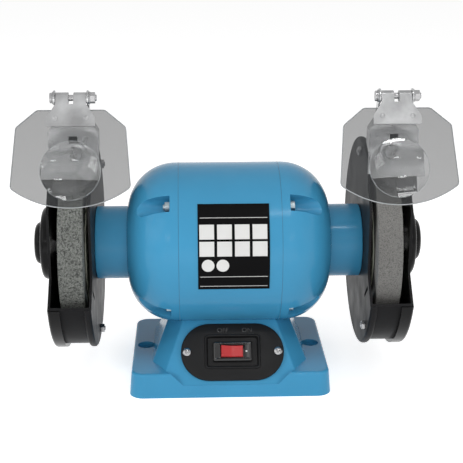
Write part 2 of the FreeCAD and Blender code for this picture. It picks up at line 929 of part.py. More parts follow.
def rest_slot(name, sign):
    """Slanted slot through a guard's inner side."""
    along_slot = (cosine(d.rest_slot_turn), sine(d.rest_slot_turn))
    corners = []
    for reach, width in ((-1, -1), (1, -1), (1, 1), (-1, 1)):
        forward = reach * d.rest_slot_length / 2
        across = width * d.rest_slot_width / 2
        corners.append((-d.rest_slot_front - forward * along_slot[0] + across * along_slot[1],
                        -d.rest_slot_drop - forward * along_slot[1] - across * along_slot[0]))
    return prism(name, at_axis, "YZ_Plane", (sign * bell_end, sign * wheel_start), corners)


def make_guard(side, sign):
    name = f"{side}_guard"
    lip_end = neck_end + d.inner_lip_width
    bore = d.flange_hub_radius + d.guard_bore_gap
    blank = turned(f"{name}_blank", at_axis, [
        (sign * neck_end, bore),
        (sign * neck_end, guard_radius),
        (sign * lip_end, guard_radius),
        (sign * lip_end, band_outer),
        (sign * cover_start, band_outer),
        (sign * cover_start, band_inner),
        (sign * plate_end, band_inner),
        (sign * plate_end, bore),
    ])
    for x in (neck_end, lip_end):
        rounded(blank, lip_round, ring_at(sign * x, guard_radius))
    drills = [rod(f"{name}_cover_hole_{i}", "x", (sign * neck_end, sign * plate_end), spot,
                  d.cover_screw_radius + d.fit_gap) for i, spot in enumerate(cover_screw_spots(sign))]
    drills += [rod(f"{name}_neck_hole_{i}", "x", (sign * neck_end, sign * plate_end), spot,
                   d.guard_screw_radius + d.fit_gap) for i, spot in enumerate(guard_screw_spots)]
    tray = cut(f"{name}_tray", blank, mouth(f"{name}_mouth", sign), rest_slot(f"{name}_slot", sign), *drills)
    middle = side_middle(sign)
    band_middle = (band_outer + band_inner) / 2
    tab_foot = d.axis_height + root(band_middle * band_middle - d.tab_front * d.tab_front)
    tab = block(f"{name}_tab", (middle - d.tab_width / 2, middle + d.tab_width / 2),
                (-d.tab_front, -d.tab_front + d.guard_wall), (tab_foot, guard_top + d.tab_top))
    hole = rod(f"{name}_tab_hole", "y", (-d.tab_front, -d.tab_front + d.guard_wall),
               (middle, guard_top + d.bracket_screw_up), d.bracket_screw_radius + d.fit_gap)
    node(name, cut(f"{name}_drilled", fuse(f"{name}_whole", tray, tab), hole))


def make_cover(side, sign):
    name = f"{side}_cover"
    lip_end = cover_end - d.cover_lip_width
    lip_inner = band_outer + d.fit_gap
    blank = turned(f"{name}_blank", at_axis, [
        (sign * cap_end, 0),
        (sign * cap_end, d.cap_radius),
        (sign * dome_end, d.cap_radius),
        (sign * dome_end, d.dome_radius),
        (sign * cover_end, d.dome_radius),
        (sign * cover_end, guard_radius),
        (sign * lip_end, guard_radius),
        (sign * lip_end, lip_inner),
        (sign * cover_start, lip_inner),
        (sign * cover_start, d.dome_radius - d.guard_wall),
        (sign * (dome_end - d.guard_wall), d.dome_radius - d.guard_wall),
        (sign * (dome_end - d.guard_wall), d.cap_radius - d.guard_wall),
        (sign * (cap_end - d.guard_wall), d.cap_radius - d.guard_wall),
        (sign * (cap_end - d.guard_wall), 0),
    ])
    rounded(blank, lip_round, ring_at(sign * cover_end, guard_radius))
    rounded(blank, d.dome_round, ring_at(sign * dome_end, d.dome_radius))
    rounded(blank, d.cap_round, ring_at(sign * cap_end, d.cap_radius))
    drills = [rod(f"{name}_hole_{i}", "x", (sign * cover_start, sign * cover_end), spot,
                  d.cover_screw_radius + d.fit_gap) for i, spot in enumerate(cover_screw_spots(sign))]
    tab_room = d.tab_width / 2 + d.run_gap
    relief = block(f"{name}_tab_relief", (side_middle(sign) - tab_room, side_middle(sign) + tab_room),
                   (-d.tab_front, -d.tab_front + d.guard_wall + d.run_gap),
                   (d.axis_height + d.mouth_ledge, guard_top + d.tab_top))
    node(f"{side}_guard_cover", cut(f"{name}_pressing", blank, mouth(f"{name}_mouth", sign), relief, *drills))


def make_cover_fasteners():
    screws, nuts = [], []
    nut_end = neck_end - d.cover_nut_height
    for side, sign in SIDES:
        for index, spot in enumerate(cover_screw_spots(sign)):
            name = f"{side}_cover_screw_{index}"
            shank = rod(f"{name}_shank", "x", (sign * (nut_end - d.cover_screw_tail), sign * cover_end), spot,
                        d.cover_screw_radius)
            head = rod(f"{name}_head", "x", (sign * cover_end, sign * (cover_end + d.cover_screw_head_height)),
                       spot, d.cover_screw_head_radius)
            screws.append(fuse(name, shank, head))
            nut_span = (sign * nut_end, sign * neck_end)
            hexed = hexagon(f"{name}_nut_blank", "x", nut_span, spot, d.cover_nut_flats)
            thread = rod(f"{name}_nut_thread", "x", nut_span, spot, d.cover_screw_radius + d.fit_gap)
            nuts.append(cut(f"{name}_nut", hexed, thread))
    node("cover_screws", group("cover_screw_set", *screws))
    node("cover_nuts", group("cover_nut_set", *nuts))


def make_guard_screws():
    screws = []
    for (side, sign), (index, spot) in product(SIDES, enumerate(guard_screw_spots)):
        name = f"{side}_guard_screw_{index}"
        shank = rod(f"{name}_shank", "x", (sign * (neck_end - d.guard_screw_depth), sign * plate_end), spot,
                    d.guard_screw_radius)
        head = rod(f"{name}_head", "x", (sign * plate_end, sign * (plate_end + d.guard_screw_head_height)),
                   spot, d.guard_screw_head_radius)
        screws.append(fuse(name, shank, head))
    node("guard_screws", group("guard_screw_set", *screws))


def make_bracket_fasteners():
    screws, washers, nuts = [], [], []
    height = guard_top + d.bracket_screw_up
    washer_back = -web_front - d.slide_gap
    washer_front = washer_back - d.bracket_washer_thickness
    nut_front = -d.tab_front + d.guard_wall
    nut_back = nut_front + d.bracket_nut_height
    for side, sign in SIDES:
        spot = (side_middle(sign), height)
        bore = d.bracket_screw_radius + d.fit_gap
        shank = rod(f"{side}_bracket_shank", "y", (washer_front, nut_back), spot, d.bracket_screw_radius)
        head = rod(f"{side}_bracket_head", "y", (washer_front - d.bracket_screw_head_height, washer_front),
                   spot, d.bracket_screw_head_radius)
        screws.append(fuse(f"{side}_bracket_screw", shank, head))
        disc = rod(f"{side}_washer_disc", "y", (washer_front, washer_back), spot, d.bracket_washer_radius)
        washers.append(cut(f"{side}_bracket_washer", disc,
                           rod(f"{side}_washer_bore", "y", (washer_front, washer_back), spot, bore)))
        hexed = hexagon(f"{side}_bracket_nut_blank", "y", (nut_front, nut_back), spot, d.bracket_nut_flats)
        nuts.append(cut(f"{side}_bracket_nut", hexed,
                        rod(f"{side}_nut_bore", "y", (nut_front, nut_back), spot, bore)))
    node("bracket_screws", group("bracket_screw_set", *screws))
    node("bracket_washers", group("bracket_washer_set", *washers))
    node("bracket_nuts", group("bracket_nut_set", *nuts))


def make_bracket(side, sign):
    name = f"{side}_bracket"
    middle = side_middle(sign)
    half = d.bracket_width / 2
    neck = d.bracket_shoulder + d.bracket_taper

    def beside(body):
        set_place(body, x=middle, z=guard_top)

    web = prism(f"{name}_web", beside, "XZ_Plane", (web_back, web_front), [
        (-half, d.bracket_bottom),
        (half, d.bracket_bottom),
        (half, d.bracket_shoulder),
        (ear_outer, neck),
        (ear_outer, d.bracket_web_top),
        (-ear_outer, d.bracket_web_top),
        (-ear_outer, neck),
        (-half, d.bracket_shoulder),
    ])
    ear_top = d.hinge_up + d.ear_radius
    sides_span = (web_front - d.bracket_depth, web_front + d.ear_radius)
    strips = []
    for hand in (-1, 1):
        strips.append(prism(f"{name}_strip_{len(strips)}", beside, "XZ_Plane", sides_span, [
            (hand * half, d.bracket_bottom),
            (hand * half, d.bracket_shoulder),
            (hand * ear_outer, neck),
            (hand * ear_outer, ear_top),
            (hand * ear_inner, ear_top),
            (hand * ear_inner, neck),
            (hand * (half - d.bracket_sheet), d.bracket_shoulder),
            (hand * (half - d.bracket_sheet), d.bracket_bottom),
        ]))
    rear = -web_front + d.bracket_depth
    flank = prism(f"{name}_flank", beside, "YZ_Plane", (-half, half), [
        (-web_front, d.bracket_side_front),
        (-web_front, d.hinge_up),
        (-web_front + d.ear_radius, d.hinge_up),
        (rear, d.bracket_side_top),
        (rear, d.bracket_side_rear),
    ])
    hinge_spot = (-web_front, hinge_height)
    ear = rod(f"{name}_ear", "x", (middle - half, middle + half), hinge_spot, d.ear_radius)
    sides = common(f"{name}_sides", fuse(f"{name}_strips", *strips), fuse(f"{name}_side_view", flank, ear))
    slot_half = d.slot_width / 2
    slot = block(f"{name}_slot", (middle - slot_half, middle + slot_half), (-web_front, -web_back),
                 (guard_top + d.bracket_screw_up - slot_half, guard_top + d.slot_top))
    pin_hole = rod(f"{name}_pin_hole", "x", (middle - half, middle + half), hinge_spot,
                   d.hinge_radius + d.fit_gap)
    node(f"{side}_spark_bracket", cut(f"{name}_sheet", fuse(f"{name}_bent", web, sides), slot, pin_hole))


def make_hinge(side, sign):
    middle = side_middle(sign)
    spot = (-web_front, hinge_height)
    washer_out = ear_outer + d.hinge_washer_thickness
    nut_out = washer_out + d.hinge_nut_height
    bore = d.hinge_radius + d.fit_gap
    shank = rod(f"{side}_hinge_shank", "x", (middle - washer_out, middle + nut_out + d.hinge_tail), spot,
                d.hinge_radius)
    head = rod(f"{side}_hinge_head", "x", (middle - washer_out - d.hinge_head_height, middle - washer_out),
               spot, d.hinge_head_radius)
    node(f"{side}_hinge_bolt", fuse(f"{side}_hinge_bar", shank, head))
    nut_span = (middle + washer_out, middle + nut_out)
    hexed = hexagon(f"{side}_hinge_nut_blank", "x", nut_span, spot, d.hinge_nut_flats)
    node(f"{side}_hinge_nut", cut(f"{side}_hinge_hex", hexed,
                                  rod(f"{side}_hinge_nut_bore", "x", nut_span, spot, bore)))
    washers = []
    for end, hand in SIDES:
        span = (middle + hand * ear_outer, middle + hand * washer_out)
        disc = rod(f"{side}_hinge_disc_{end}", "x", span, spot, d.hinge_washer_radius)
        washers.append(cut(f"{side}_hinge_washer_{end}", disc,
                           rod(f"{side}_hinge_washer_bore_{end}", "x", span, spot, bore)))
    node(f"{side}_hinge_washers", group(f"{side}_hinge_washer_set", *washers))


def make_shield(side, sign):
    middle = side_middle(sign)
    spot = (-web_front, hinge_height)

    def on_hinge(body):
        """The shield's frame: X along the hinge, Y up the sheet and Z out of its front."""
        set_turn(body, X_AXIS, 90 - d.shield_tilt)
        set_place(body, middle, -web_front, hinge_height)

    clip_back = d.knuckle_radius - d.clip_sheet
    clip_front = d.knuckle_radius
    shield_front = clip_back
    shield_back = shield_front - d.shield_thickness
    half_span, half_split = d.knuckle_span / 2, d.knuckle_split / 2
    leaf = prism(f"{side}_clip_leaf", on_hinge, "XY_Plane", (clip_back, clip_front), [
        (-half_span, 0),
        (-half_span, -d.clip_neck),
        (-d.clip_width / 2, -d.clip_shoulder),
        (-d.clip_width / 2, -d.clip_drop),
        (d.clip_width / 2, -d.clip_drop),
        (d.clip_width / 2, -d.clip_shoulder),
        (half_span, -d.clip_neck),
        (half_span, 0),
        (half_split, 0),
        (half_split, -d.clip_neck),
        (-half_split, -d.clip_neck),
        (-half_split, 0),
    ])
    knuckles = [rod(f"{side}_knuckle_{end}", "x", (middle + hand * half_split, middle + hand * half_span),
                    spot, d.knuckle_radius) for end, hand in SIDES]
    pin = rod(f"{side}_knuckle_bore", "x", (middle - half_span, middle + half_span), spot,
              d.hinge_radius + d.hinge_gap)
    peg_spots = [(hand * d.peg_spacing / 2, -d.peg_drop) for end, hand in SIDES]
    peg_holes = [post(f"{side}_peg_hole_{i}", on_hinge, at, d.peg_radius + d.fit_gap, (clip_back, clip_front))
                 for i, at in enumerate(peg_spots)]
    node(f"{side}_shield_clip",
         cut(f"{side}_clip_sheet", fuse(f"{side}_clip_whole", leaf, *knuckles), pin, *peg_holes))

    sag = d.shield_drop - d.shield_corner_drop
    half_chord = d.shield_corner_width / 2
    hem = (half_chord * half_chord + sag * sag) / (2 * sag)
    sheet_body = prism(f"{side}_shield_sheet", on_hinge, "XY_Plane", (shield_back, shield_front), [
        (-half_chord, -d.shield_corner_drop),
        (half_chord, -d.shield_corner_drop),
        (d.shield_shoulder_width / 2, -d.shield_shoulder_drop),
        (d.shield_top_width / 2, -d.shield_top_drop),
        (-d.shield_top_width / 2, -d.shield_top_drop),
        (-d.shield_shoulder_width / 2, -d.shield_shoulder_drop),
    ], arcs={0: hem})
    rounded(sheet_body, d.shield_round, upright)
    pegs = [post(f"{side}_peg_{index}", on_hinge, at, d.peg_radius, (shield_back, clip_front))
            for index, at in enumerate(peg_spots)]
    node(f"{side}_eye_shield", fuse(f"{side}_shield_moulding", sheet_body, *pegs))

    crown = (d.lens_radius * d.lens_radius + d.lens_crown * d.lens_crown) / (2 * d.lens_crown)
    node(f"{side}_magnifier", turned(f"{side}_lens", on_hinge, [
        (0, shield_front),
        (d.lens_radius, shield_front),
        (d.lens_radius, shield_front + d.lens_edge),
        (0, shield_front + d.lens_edge + d.lens_crown),
    ], arcs={2: crown}, axis="V_Axis", offset=d.lens_drop))


half_length = d.base_length / 2
half_depth = d.base_depth / 2
panel_slope = sine(d.panel_tilt) / cosine(d.panel_tilt)
plate_top = d.plate_recess + d.plate_thickness
ceiling = motor_bottom - d.saddle_roof
panel_front = half_depth - d.panel_inset
room_half_length = half_length - d.base_end_wall
room_half_depth = half_depth - d.base_side_wall
post_x = room_half_length - d.post_inset_x
post_y = room_half_depth - d.post_inset_y
post_spots = [(x * post_x, y * post_y) for x in (-1, 1) for y in (-1, 1)]
gland_spot = (post_x - d.gland_inset, d.gland_up)
gland_face = room_half_depth + d.gland_seat
switch_reach = d.switch_plate_width / 2 - d.switch_screw_edge
switch_spots = [(d.switch_shift + hand * switch_reach, d.switch_up) for hand in (-1, 1)]
bezel_front = d.switch_plate_thickness + d.bezel_rise


def on_panel(body):
    """The slanted panel's frame: X along its foot, Y up the slope and Z out of it."""
    set_turn(body, X_AXIS, 90 - d.panel_tilt)
    set_place(body, 0, -panel_front, d.panel_foot)


def around_switch(width, height):
    """A rectangle on the panel with the switch at its middle."""
    return rectangle((d.switch_shift - width / 2, d.switch_shift + width / 2),
                     (d.switch_up - height / 2, d.switch_up + height / 2))


def pedestal_outline(height, inset):
    """Eight corners of the pedestal at a height, front and back alike, drawn in by a wall."""
    inset = size_of(inset)
    share = (height - d.panel_foot) / (d.pedestal_top - d.panel_foot)
    front = panel_front - (height - d.panel_foot) * panel_slope - inset / cosine(d.panel_tilt)
    panel = (d.pedestal_panel_low + (d.pedestal_panel_high - d.pedestal_panel_low) * share) / 2 - inset
    flank = (d.pedestal_side_low + (d.pedestal_side_high - d.pedestal_side_low) * share) / 2 - inset
    corner = panel_front * d.pedestal_corner_share
    steepness = corner * 2 / (d.pedestal_side_low - d.pedestal_panel_low)
    shoulder = front - (flank - panel) * steepness
    return [
        (-panel, -front),
        (panel, -front),
        (flank, -shoulder),
        (flank, shoulder),
        (panel, front),
        (-panel, front),
        (-flank, shoulder),
        (-flank, -shoulder),
    ]


def make_base():
    foot, foot_arcs = soft_rectangle(half_length, half_depth, d.base_corner)
    crown, crown_arcs = soft_rectangle(half_length - d.base_draft, half_depth - d.base_draft,
                                       d.base_corner - d.base_draft)
    plinth = softened("plinth", lofted("plinth_block", (0, d.plinth_height), foot, crown, foot_arcs, crown_arcs),
                      d.plinth_round, flat_at(d.plinth_height))
    pedestal_block = lofted("pedestal_block", (d.panel_foot, d.pedestal_top),
                            pedestal_outline(d.panel_foot, 0), pedestal_outline(d.pedestal_top, 0))
    pedestal = softened("pedestal", pedestal_block, d.pedestal_round, upright)
    climb = (d.plinth_height - d.panel_foot) / cosine(d.panel_tilt)
    sill, waist = d.panel_foot_width / 2, d.panel_waist_width / 2
    chamfer = prism("panel_chamfer", on_panel, "XY_Plane", (0, d.plinth_height), [
        (-sill, 0),
        (sill, 0),
        (waist, climb),
        (waist, climb * 2),
        (-waist, climb * 2),
        (-waist, climb),
    ])
    solid = cut("base_solid", fuse("base_whole", plinth, pedestal), chamfer)

    low_room = block("plinth_room", (-room_half_length, room_half_length),
                     (-room_half_depth, room_half_depth), (0, d.plinth_height - d.plinth_roof))
    high_room = lofted("pedestal_room", (d.panel_foot, ceiling),
                       pedestal_outline(d.panel_foot, d.base_wall),
                       pedestal_outline(ceiling, d.base_wall))
    posts = [rod(f"base_post_{i}", "z", (plate_top, ceiling), spot, d.post_radius)
             for i, spot in enumerate(post_spots)]
    room = cut("base_room", fuse("base_rooms", low_room, high_room), *posts)

    motor = rod("saddle", "x", (-bell_end, bell_end), (0, d.axis_height), d.motor_radius + d.fit_gap)
    saddle_span = (ceiling - d.run_gap, d.pedestal_top)
    drills = [rod(f"saddle_hole_{i}", "z", saddle_span, (x, 0), d.saddle_bolt_radius + d.fit_gap)
              for i, x in enumerate(saddle_bolt_xs)]
    drills.append(rod("base_wire_hole", "z", saddle_span, (0, 0), d.wire_hole_radius))
    for side, sign in SIDES:
        spot = (sign * (half_length - d.bench_hole_edge), 0)
        drills.append(rod(f"{side}_bench_hole", "z", (0, d.plinth_height), spot, d.bench_hole_radius))
        drills.append(rod(f"{side}_bench_recess", "z",
                          (d.plinth_height - d.bench_recess_depth, d.plinth_height + d.bench_recess_depth),
                          spot, d.bench_recess_radius))
    drills += [rod(f"post_tap_{i}", "z", (plate_top, plate_top + d.plate_screw_depth), spot,
                   d.plate_screw_radius + d.fit_gap) for i, spot in enumerate(post_spots)]
    drills += [post(f"switch_tap_{i}", on_panel, spot, d.switch_screw_radius + d.fit_gap,
                    (-d.switch_screw_depth, 0)) for i, spot in enumerate(switch_spots)]
    drills.append(prism("switch_opening", on_panel, "XY_Plane", (-d.switch_body_depth, 0),
                        around_switch(d.switch_body_width + d.bezel_gap * 2,
                                      d.switch_body_height + d.bezel_gap * 2)))
    drills.append(rod("gland_hole", "y", (0, gland_face), gland_spot, d.gland_radius + d.fit_gap))
    drills.append(rod("gland_recess", "y", (gland_face, half_depth), gland_spot,
                      d.gland_flange_radius + d.bezel_gap))
    node("base_casting", cut("base", solid, room, motor, *drills))


def make_saddle_bolts():
    bolts = []
    for index, x in enumerate(saddle_bolt_xs):
        shank = rod(f"saddle_shank_{index}", "z", (ceiling, motor_bottom + d.housing_wall - d.run_gap), (x, 0),
                    d.saddle_bolt_radius)
        head = rod(f"saddle_head_{index}", "z", (ceiling - d.saddle_bolt_head_height, ceiling), (x, 0),
                   d.saddle_bolt_head_radius)
        bolts.append(fuse(f"saddle_bolt_{index}", shank, head))
    node("saddle_bolts", group("saddle_bolt_set", *bolts))


def make_bottom():
    plate_half_x = room_half_length - d.plate_gap
    plate_half_y = room_half_depth - d.plate_gap
    level = (d.plate_recess, plate_top)
    sheet_block = block("bottom_sheet", (-plate_half_x, plate_half_x), (-plate_half_y, plate_half_y), level)
    holes = [rod(f"bottom_hole_{i}", "z", level, spot, d.plate_screw_radius + d.fit_gap)
             for i, spot in enumerate(post_spots)]
    node("base_plate", cut("bottom", sheet_block, *holes))
    screws = []
    for index, spot in enumerate(post_spots):
        shank = rod(f"bottom_shank_{index}", "z", (d.plate_recess, plate_top + d.plate_screw_depth), spot,
                    d.plate_screw_radius)
        head = rod(f"bottom_head_{index}", "z", (d.plate_recess - d.plate_screw_head_height, d.plate_recess),
                   spot, d.plate_screw_head_radius)
        screws.append(fuse(f"bottom_screw_{index}", shank, head))
    node("base_plate_screws", group("bottom_screw_set", *screws))


def make_wiring():
    clip_outer = d.capacitor_radius + d.fit_gap + d.clip_band_sheet
    height = plate_top + clip_outer
    spot = (d.capacitor_back, height)
    middle = d.capacitor_middle
    node("capacitor", rod("capacitor_can", "x", (middle - d.capacitor_length / 2, middle + d.capacitor_length / 2),
                          spot, d.capacitor_radius))
    band_span = (middle - d.clip_band / 2, middle + d.clip_band / 2)
    band = rod("clip_band_disc", "x", band_span, spot, clip_outer)
    foot = block("clip_foot", band_span, (d.capacitor_back - clip_outer, d.capacitor_back + clip_outer),
                 (plate_top, plate_top + d.clip_band_sheet))
    bore = rod("clip_bore", "x", band_span, spot, d.capacitor_radius + d.fit_gap)
    node("capacitor_clip", cut("clip_strap", fuse("clip_whole", band, foot), bore))
    terminal_end = room_half_length - d.terminal_edge
    node("terminal_block", block("terminals", (terminal_end - d.terminal_length, terminal_end),
                                 (d.terminal_back - d.terminal_width, d.terminal_back),
                                 (plate_top, plate_top + d.terminal_height)))
    sleeve_end = gland_face - d.gland_length
    flange_end = gland_face + d.gland_flange_thickness
    sleeve = rod("gland_sleeve", "y", (sleeve_end, gland_face), gland_spot, d.gland_radius)
    flange = rod("gland_flange", "y", (gland_face, flange_end), gland_spot, d.gland_flange_radius)
    bore = rod("gland_bore_hole", "y", (sleeve_end, flange_end), gland_spot, d.gland_bore)
    node("cable_gland", cut("gland", fuse("gland_whole", sleeve, flange), bore))


def make_switch():
    thickness = d.switch_plate_thickness
    opening = around_switch(d.switch_body_width + d.bezel_gap * 2, d.switch_body_height + d.bezel_gap * 2)
    plate = prism("switch_plate_blank", on_panel, "XY_Plane", (0, thickness),
                  around_switch(d.switch_plate_width, d.switch_plate_height), opening)

    def outside_frame(edge):
        middle = edge.BoundBox.Center
        return (abs(middle.x - d.switch_shift.number) > d.switch_frame_width.number / 2
                or abs(middle.y - d.switch_up.number) > d.switch_frame_height.number / 2)

    end_round = least(d.switch_plate_width, d.switch_plate_height) / 2 - d.fit_gap
    rounded(plate, end_round, lambda edge: upright(edge) and outside_frame(edge))
    top = flat_at(thickness)
    rounded(plate, d.switch_plate_round, lambda edge: top(edge) and outside_frame(edge))
    frame_inner = around_switch(d.switch_frame_width - d.switch_frame_wall * 2,
                                d.switch_frame_height - d.switch_frame_wall * 2)
    pad(plate, "switch_frame", "XY_Plane", (thickness, thickness + d.switch_frame_rise),
        (around_switch(d.switch_frame_width, d.switch_frame_height), frame_inner))
    holes = [post(f"switch_hole_{i}", on_panel, spot, d.switch_screw_radius + d.fit_gap, (0, thickness))
             for i, spot in enumerate(switch_spots)]
    node("switch_plate", cut("switch_cover", plate, *holes))

    screws = []
    for index, spot in enumerate(switch_spots):
        shank = post(f"switch_shank_{index}", on_panel, spot, d.switch_screw_radius,
                     (-d.switch_screw_depth, thickness))
        head = post(f"switch_head_{index}", on_panel, spot, d.switch_screw_head_radius,
                    (thickness, thickness + d.switch_screw_head_height))
        screws.append(fuse(f"switch_screw_{index}", shank, head))
    node("switch_plate_screws", group("switch_screw_set", *screws))

    box = prism("switch_box", on_panel, "XY_Plane", (thickness - d.switch_body_depth, thickness),
                around_switch(d.switch_body_width, d.switch_body_height))
    bezel = prism("switch_bezel", on_panel, "XY_Plane", (thickness, bezel_front),
                  around_switch(d.bezel_width, d.bezel_height))
    well_floor = bezel_front - d.rocker_pivot - d.rocker_floor * 2
    well = prism("switch_well", on_panel, "XY_Plane", (well_floor, bezel_front),
                 around_switch(d.rocker_width + d.rocker_gap * 2, d.rocker_height + d.rocker_gap * 2))
    node("switch_body", cut("switch_case", fuse("switch_whole", box, bezel), well))


def make_rocker():
    """The rocker as it rests in OFF, its left end pressed in about a pivot below the bezel."""
    half = d.rocker_width / 2
    rise = d.rocker_pivot + d.rocker_rise
    pivot_height = bezel_front - d.rocker_pivot
    upright_outline = [
        (-half, rise),
        (-half, 0),
        (0, -d.rocker_floor),
        (half, 0),
        (half, rise),
        (0, rise - d.rocker_dip),
    ]
    across, up = cosine(d.rocker_angle), sine(d.rocker_angle)
    tilted = [(d.switch_shift + x * across - z * up, pivot_height + x * up + z * across)
              for x, z in upright_outline]
    span = (-d.switch_up - d.rocker_height / 2, -d.switch_up + d.rocker_height / 2)
    node("switch_rocker", prism("rocker", on_panel, "XZ_Plane", span, tilted))


make_housing()
make_through_bolts()
make_label()
make_stator()
make_shaft()
make_rotor()
make_bearings()
for side, sign in SIDES:
    make_bell(side, sign)
    make_wheel(side, sign)
    make_guard(side, sign)
    make_cover(side, sign)
    make_bracket(side, sign)
    make_hinge(side, sign)
    make_shield(side, sign)
make_wheel_clamps()
make_cover_fasteners()
make_guard_screws()
make_bracket_fasteners()
make_base()
make_saddle_bolts()
make_bottom()
make_wiring()
make_switch()
make_rocker()

doc.recompute()
for thing in doc.Objects:
    if "Invalid" in thing.State or "Error" in thing.State:
        raise RuntimeError(f"{thing.Label} failed: {thing.State}")
for thing in nodes:
    if thing.Shape.isNull() or not thing.Shape.isValid():
        raise RuntimeError(f"{thing.Label} has no sound shape")
os.makedirs("parts", exist_ok=True)
for thing in nodes:
    thing.Shape.exportStep(f"parts/{thing.Label}.step")
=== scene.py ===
"""Dresses the bench grinder: finishes, edges, small pieces, studio light and the camera."""
import bpy
import bmesh
import json
import math
from mathutils import Matrix, Vector


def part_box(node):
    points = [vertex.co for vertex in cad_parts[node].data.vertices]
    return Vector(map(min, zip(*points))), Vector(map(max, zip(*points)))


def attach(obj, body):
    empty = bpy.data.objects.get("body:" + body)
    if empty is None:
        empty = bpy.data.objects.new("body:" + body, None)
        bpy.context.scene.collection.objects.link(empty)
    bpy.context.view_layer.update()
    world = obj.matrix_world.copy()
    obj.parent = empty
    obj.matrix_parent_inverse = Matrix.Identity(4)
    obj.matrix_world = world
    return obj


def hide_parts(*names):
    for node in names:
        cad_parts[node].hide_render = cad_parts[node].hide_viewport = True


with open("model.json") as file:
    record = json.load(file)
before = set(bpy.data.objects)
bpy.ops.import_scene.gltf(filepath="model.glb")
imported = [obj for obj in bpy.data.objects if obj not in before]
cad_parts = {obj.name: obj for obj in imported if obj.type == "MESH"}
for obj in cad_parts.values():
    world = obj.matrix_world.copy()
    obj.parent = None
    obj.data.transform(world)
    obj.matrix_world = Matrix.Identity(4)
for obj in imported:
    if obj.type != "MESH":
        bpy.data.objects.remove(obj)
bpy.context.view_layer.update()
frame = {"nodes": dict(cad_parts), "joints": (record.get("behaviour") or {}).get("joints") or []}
nodes = frame["nodes"]
joints = {joint["name"]: joint for joint in frame["joints"]}
scene = bpy.context.scene

MM = 0.001
SAME_POINT = 0.002 * MM
SIDES = ("left", "right")
SPINDLE_HEIGHT = joints["spindle_spin"]["pos_m"][2]
SPINDLE = Vector((0, 0, SPINDLE_HEIGHT))


# Shader building

def plug(tree, value, socket):
    """Feed a socket from another node's output, or set its own value."""
    if isinstance(value, bpy.types.NodeSocket):
        tree.links.new(value, socket)
    else:
        socket.default_value = value


def add_node(tree, kind, settings=None, **inputs):
    """A shader node; settings are its own choices and inputs go by socket name."""
    made = tree.nodes.new(kind)
    for key, value in (settings or {}).items():
        setattr(made, key, value)
    for key, value in inputs.items():
        plug(tree, value, made.inputs[key.replace("_", " ")])
    return made


def calculate(tree, operation, *values):
    """One step of arithmetic on values or sockets."""
    made = tree.nodes.new("ShaderNodeMath")
    made.operation = operation
    for value, socket in zip(values, made.inputs):
        plug(tree, value, socket)
    return made.outputs[0]


def blend_colours(tree, share, first, second):
    """The first colour where the share is nought, and the second where it is one."""
    made = tree.nodes.new("ShaderNodeMix")
    made.data_type = "RGBA"
    plug(tree, share, made.inputs["Factor"])
    plug(tree, first, made.inputs["A"])
    plug(tree, second, made.inputs["B"])
    return made.outputs["Result"]


def spread(tree, value, low, high, new_low, new_high):
    """Carry a value from one range to another, held at both ends."""
    made = add_node(tree, "ShaderNodeMapRange", Value=value, From_Min=low, From_Max=high)
    plug(tree, new_low, made.inputs["To Min"])
    plug(tree, new_high, made.inputs["To Max"])
    return made.outputs["Result"]


def places(tree):
    """Where each point lies on its piece, in metres; it moves with the piece."""
    return tree.nodes.new("ShaderNodeTexCoord").outputs["Object"]


def noise(tree, scale, detail=3.0, where=None):
    """A soft random cloud between nought and one."""
    made = add_node(tree, "ShaderNodeTexNoise", Detail=detail)
    plug(tree, scale, made.inputs["Scale"])
    plug(tree, where or places(tree), made.inputs["Vector"])
    return made.outputs["Fac"]


def colour(red, green, blue):
    """A solid colour, in linear light."""
    return (red, green, blue, 1.0)


def new_effect(name, inputs, outputs):
    """A shader group with named sockets; inputs maps a name to its kind and first value."""
    tree = bpy.data.node_groups.new(name, "ShaderNodeTree")
    for title, (kind, value) in inputs.items():
        socket = tree.interface.new_socket(name=title, in_out="INPUT", socket_type=kind)
        socket.default_value = value
    for title, kind in outputs.items():
        tree.interface.new_socket(name=title, in_out="OUTPUT", socket_type=kind)
    return tree, tree.nodes.new("NodeGroupInput").outputs, tree.nodes.new("NodeGroupOutput").inputs


FLOAT, COLOUR = "NodeSocketFloat", "NodeSocketColor"


def make_mottle():
    """Slow drift of a finish between two tones, as in any sprayed or moulded surface."""
    tree, given, wanted = new_effect(
        "mottle",
        {"Colour": (COLOUR, colour(0.5, 0.5, 0.5)), "Drift": (FLOAT, 0.1), "Scale": (FLOAT, 30.0)},
        {"Colour": COLOUR})
    cloud = noise(tree, given["Scale"], 4.0)
    lift = spread(tree, cloud, 0.3, 0.7, calculate(tree, "SUBTRACT", 1.0, given["Drift"]),
                  calculate(tree, "ADD", 1.0, given["Drift"]))
    tint = tree.nodes.new("ShaderNodeVectorMath")
    tint.operation = "SCALE"
    plug(tree, given["Colour"], tint.inputs[0])
    plug(tree, lift, tint.inputs["Scale"])
    plug(tree, tint.outputs["Vector"], wanted["Colour"])
    return tree


def make_handled():
    """Uneven gloss from hands, wiping and fine dust."""
    tree, given, wanted = new_effect(
        "handled",
        {"Least": (FLOAT, 0.25), "Most": (FLOAT, 0.4), "Scale": (FLOAT, 40.0)},
        {"Roughness": FLOAT})
    cloud = noise(tree, given["Scale"], 5.0)
    plug(tree, spread(tree, cloud, 0.3, 0.7, given["Least"], given["Most"]), wanted["Roughness"])
    return tree


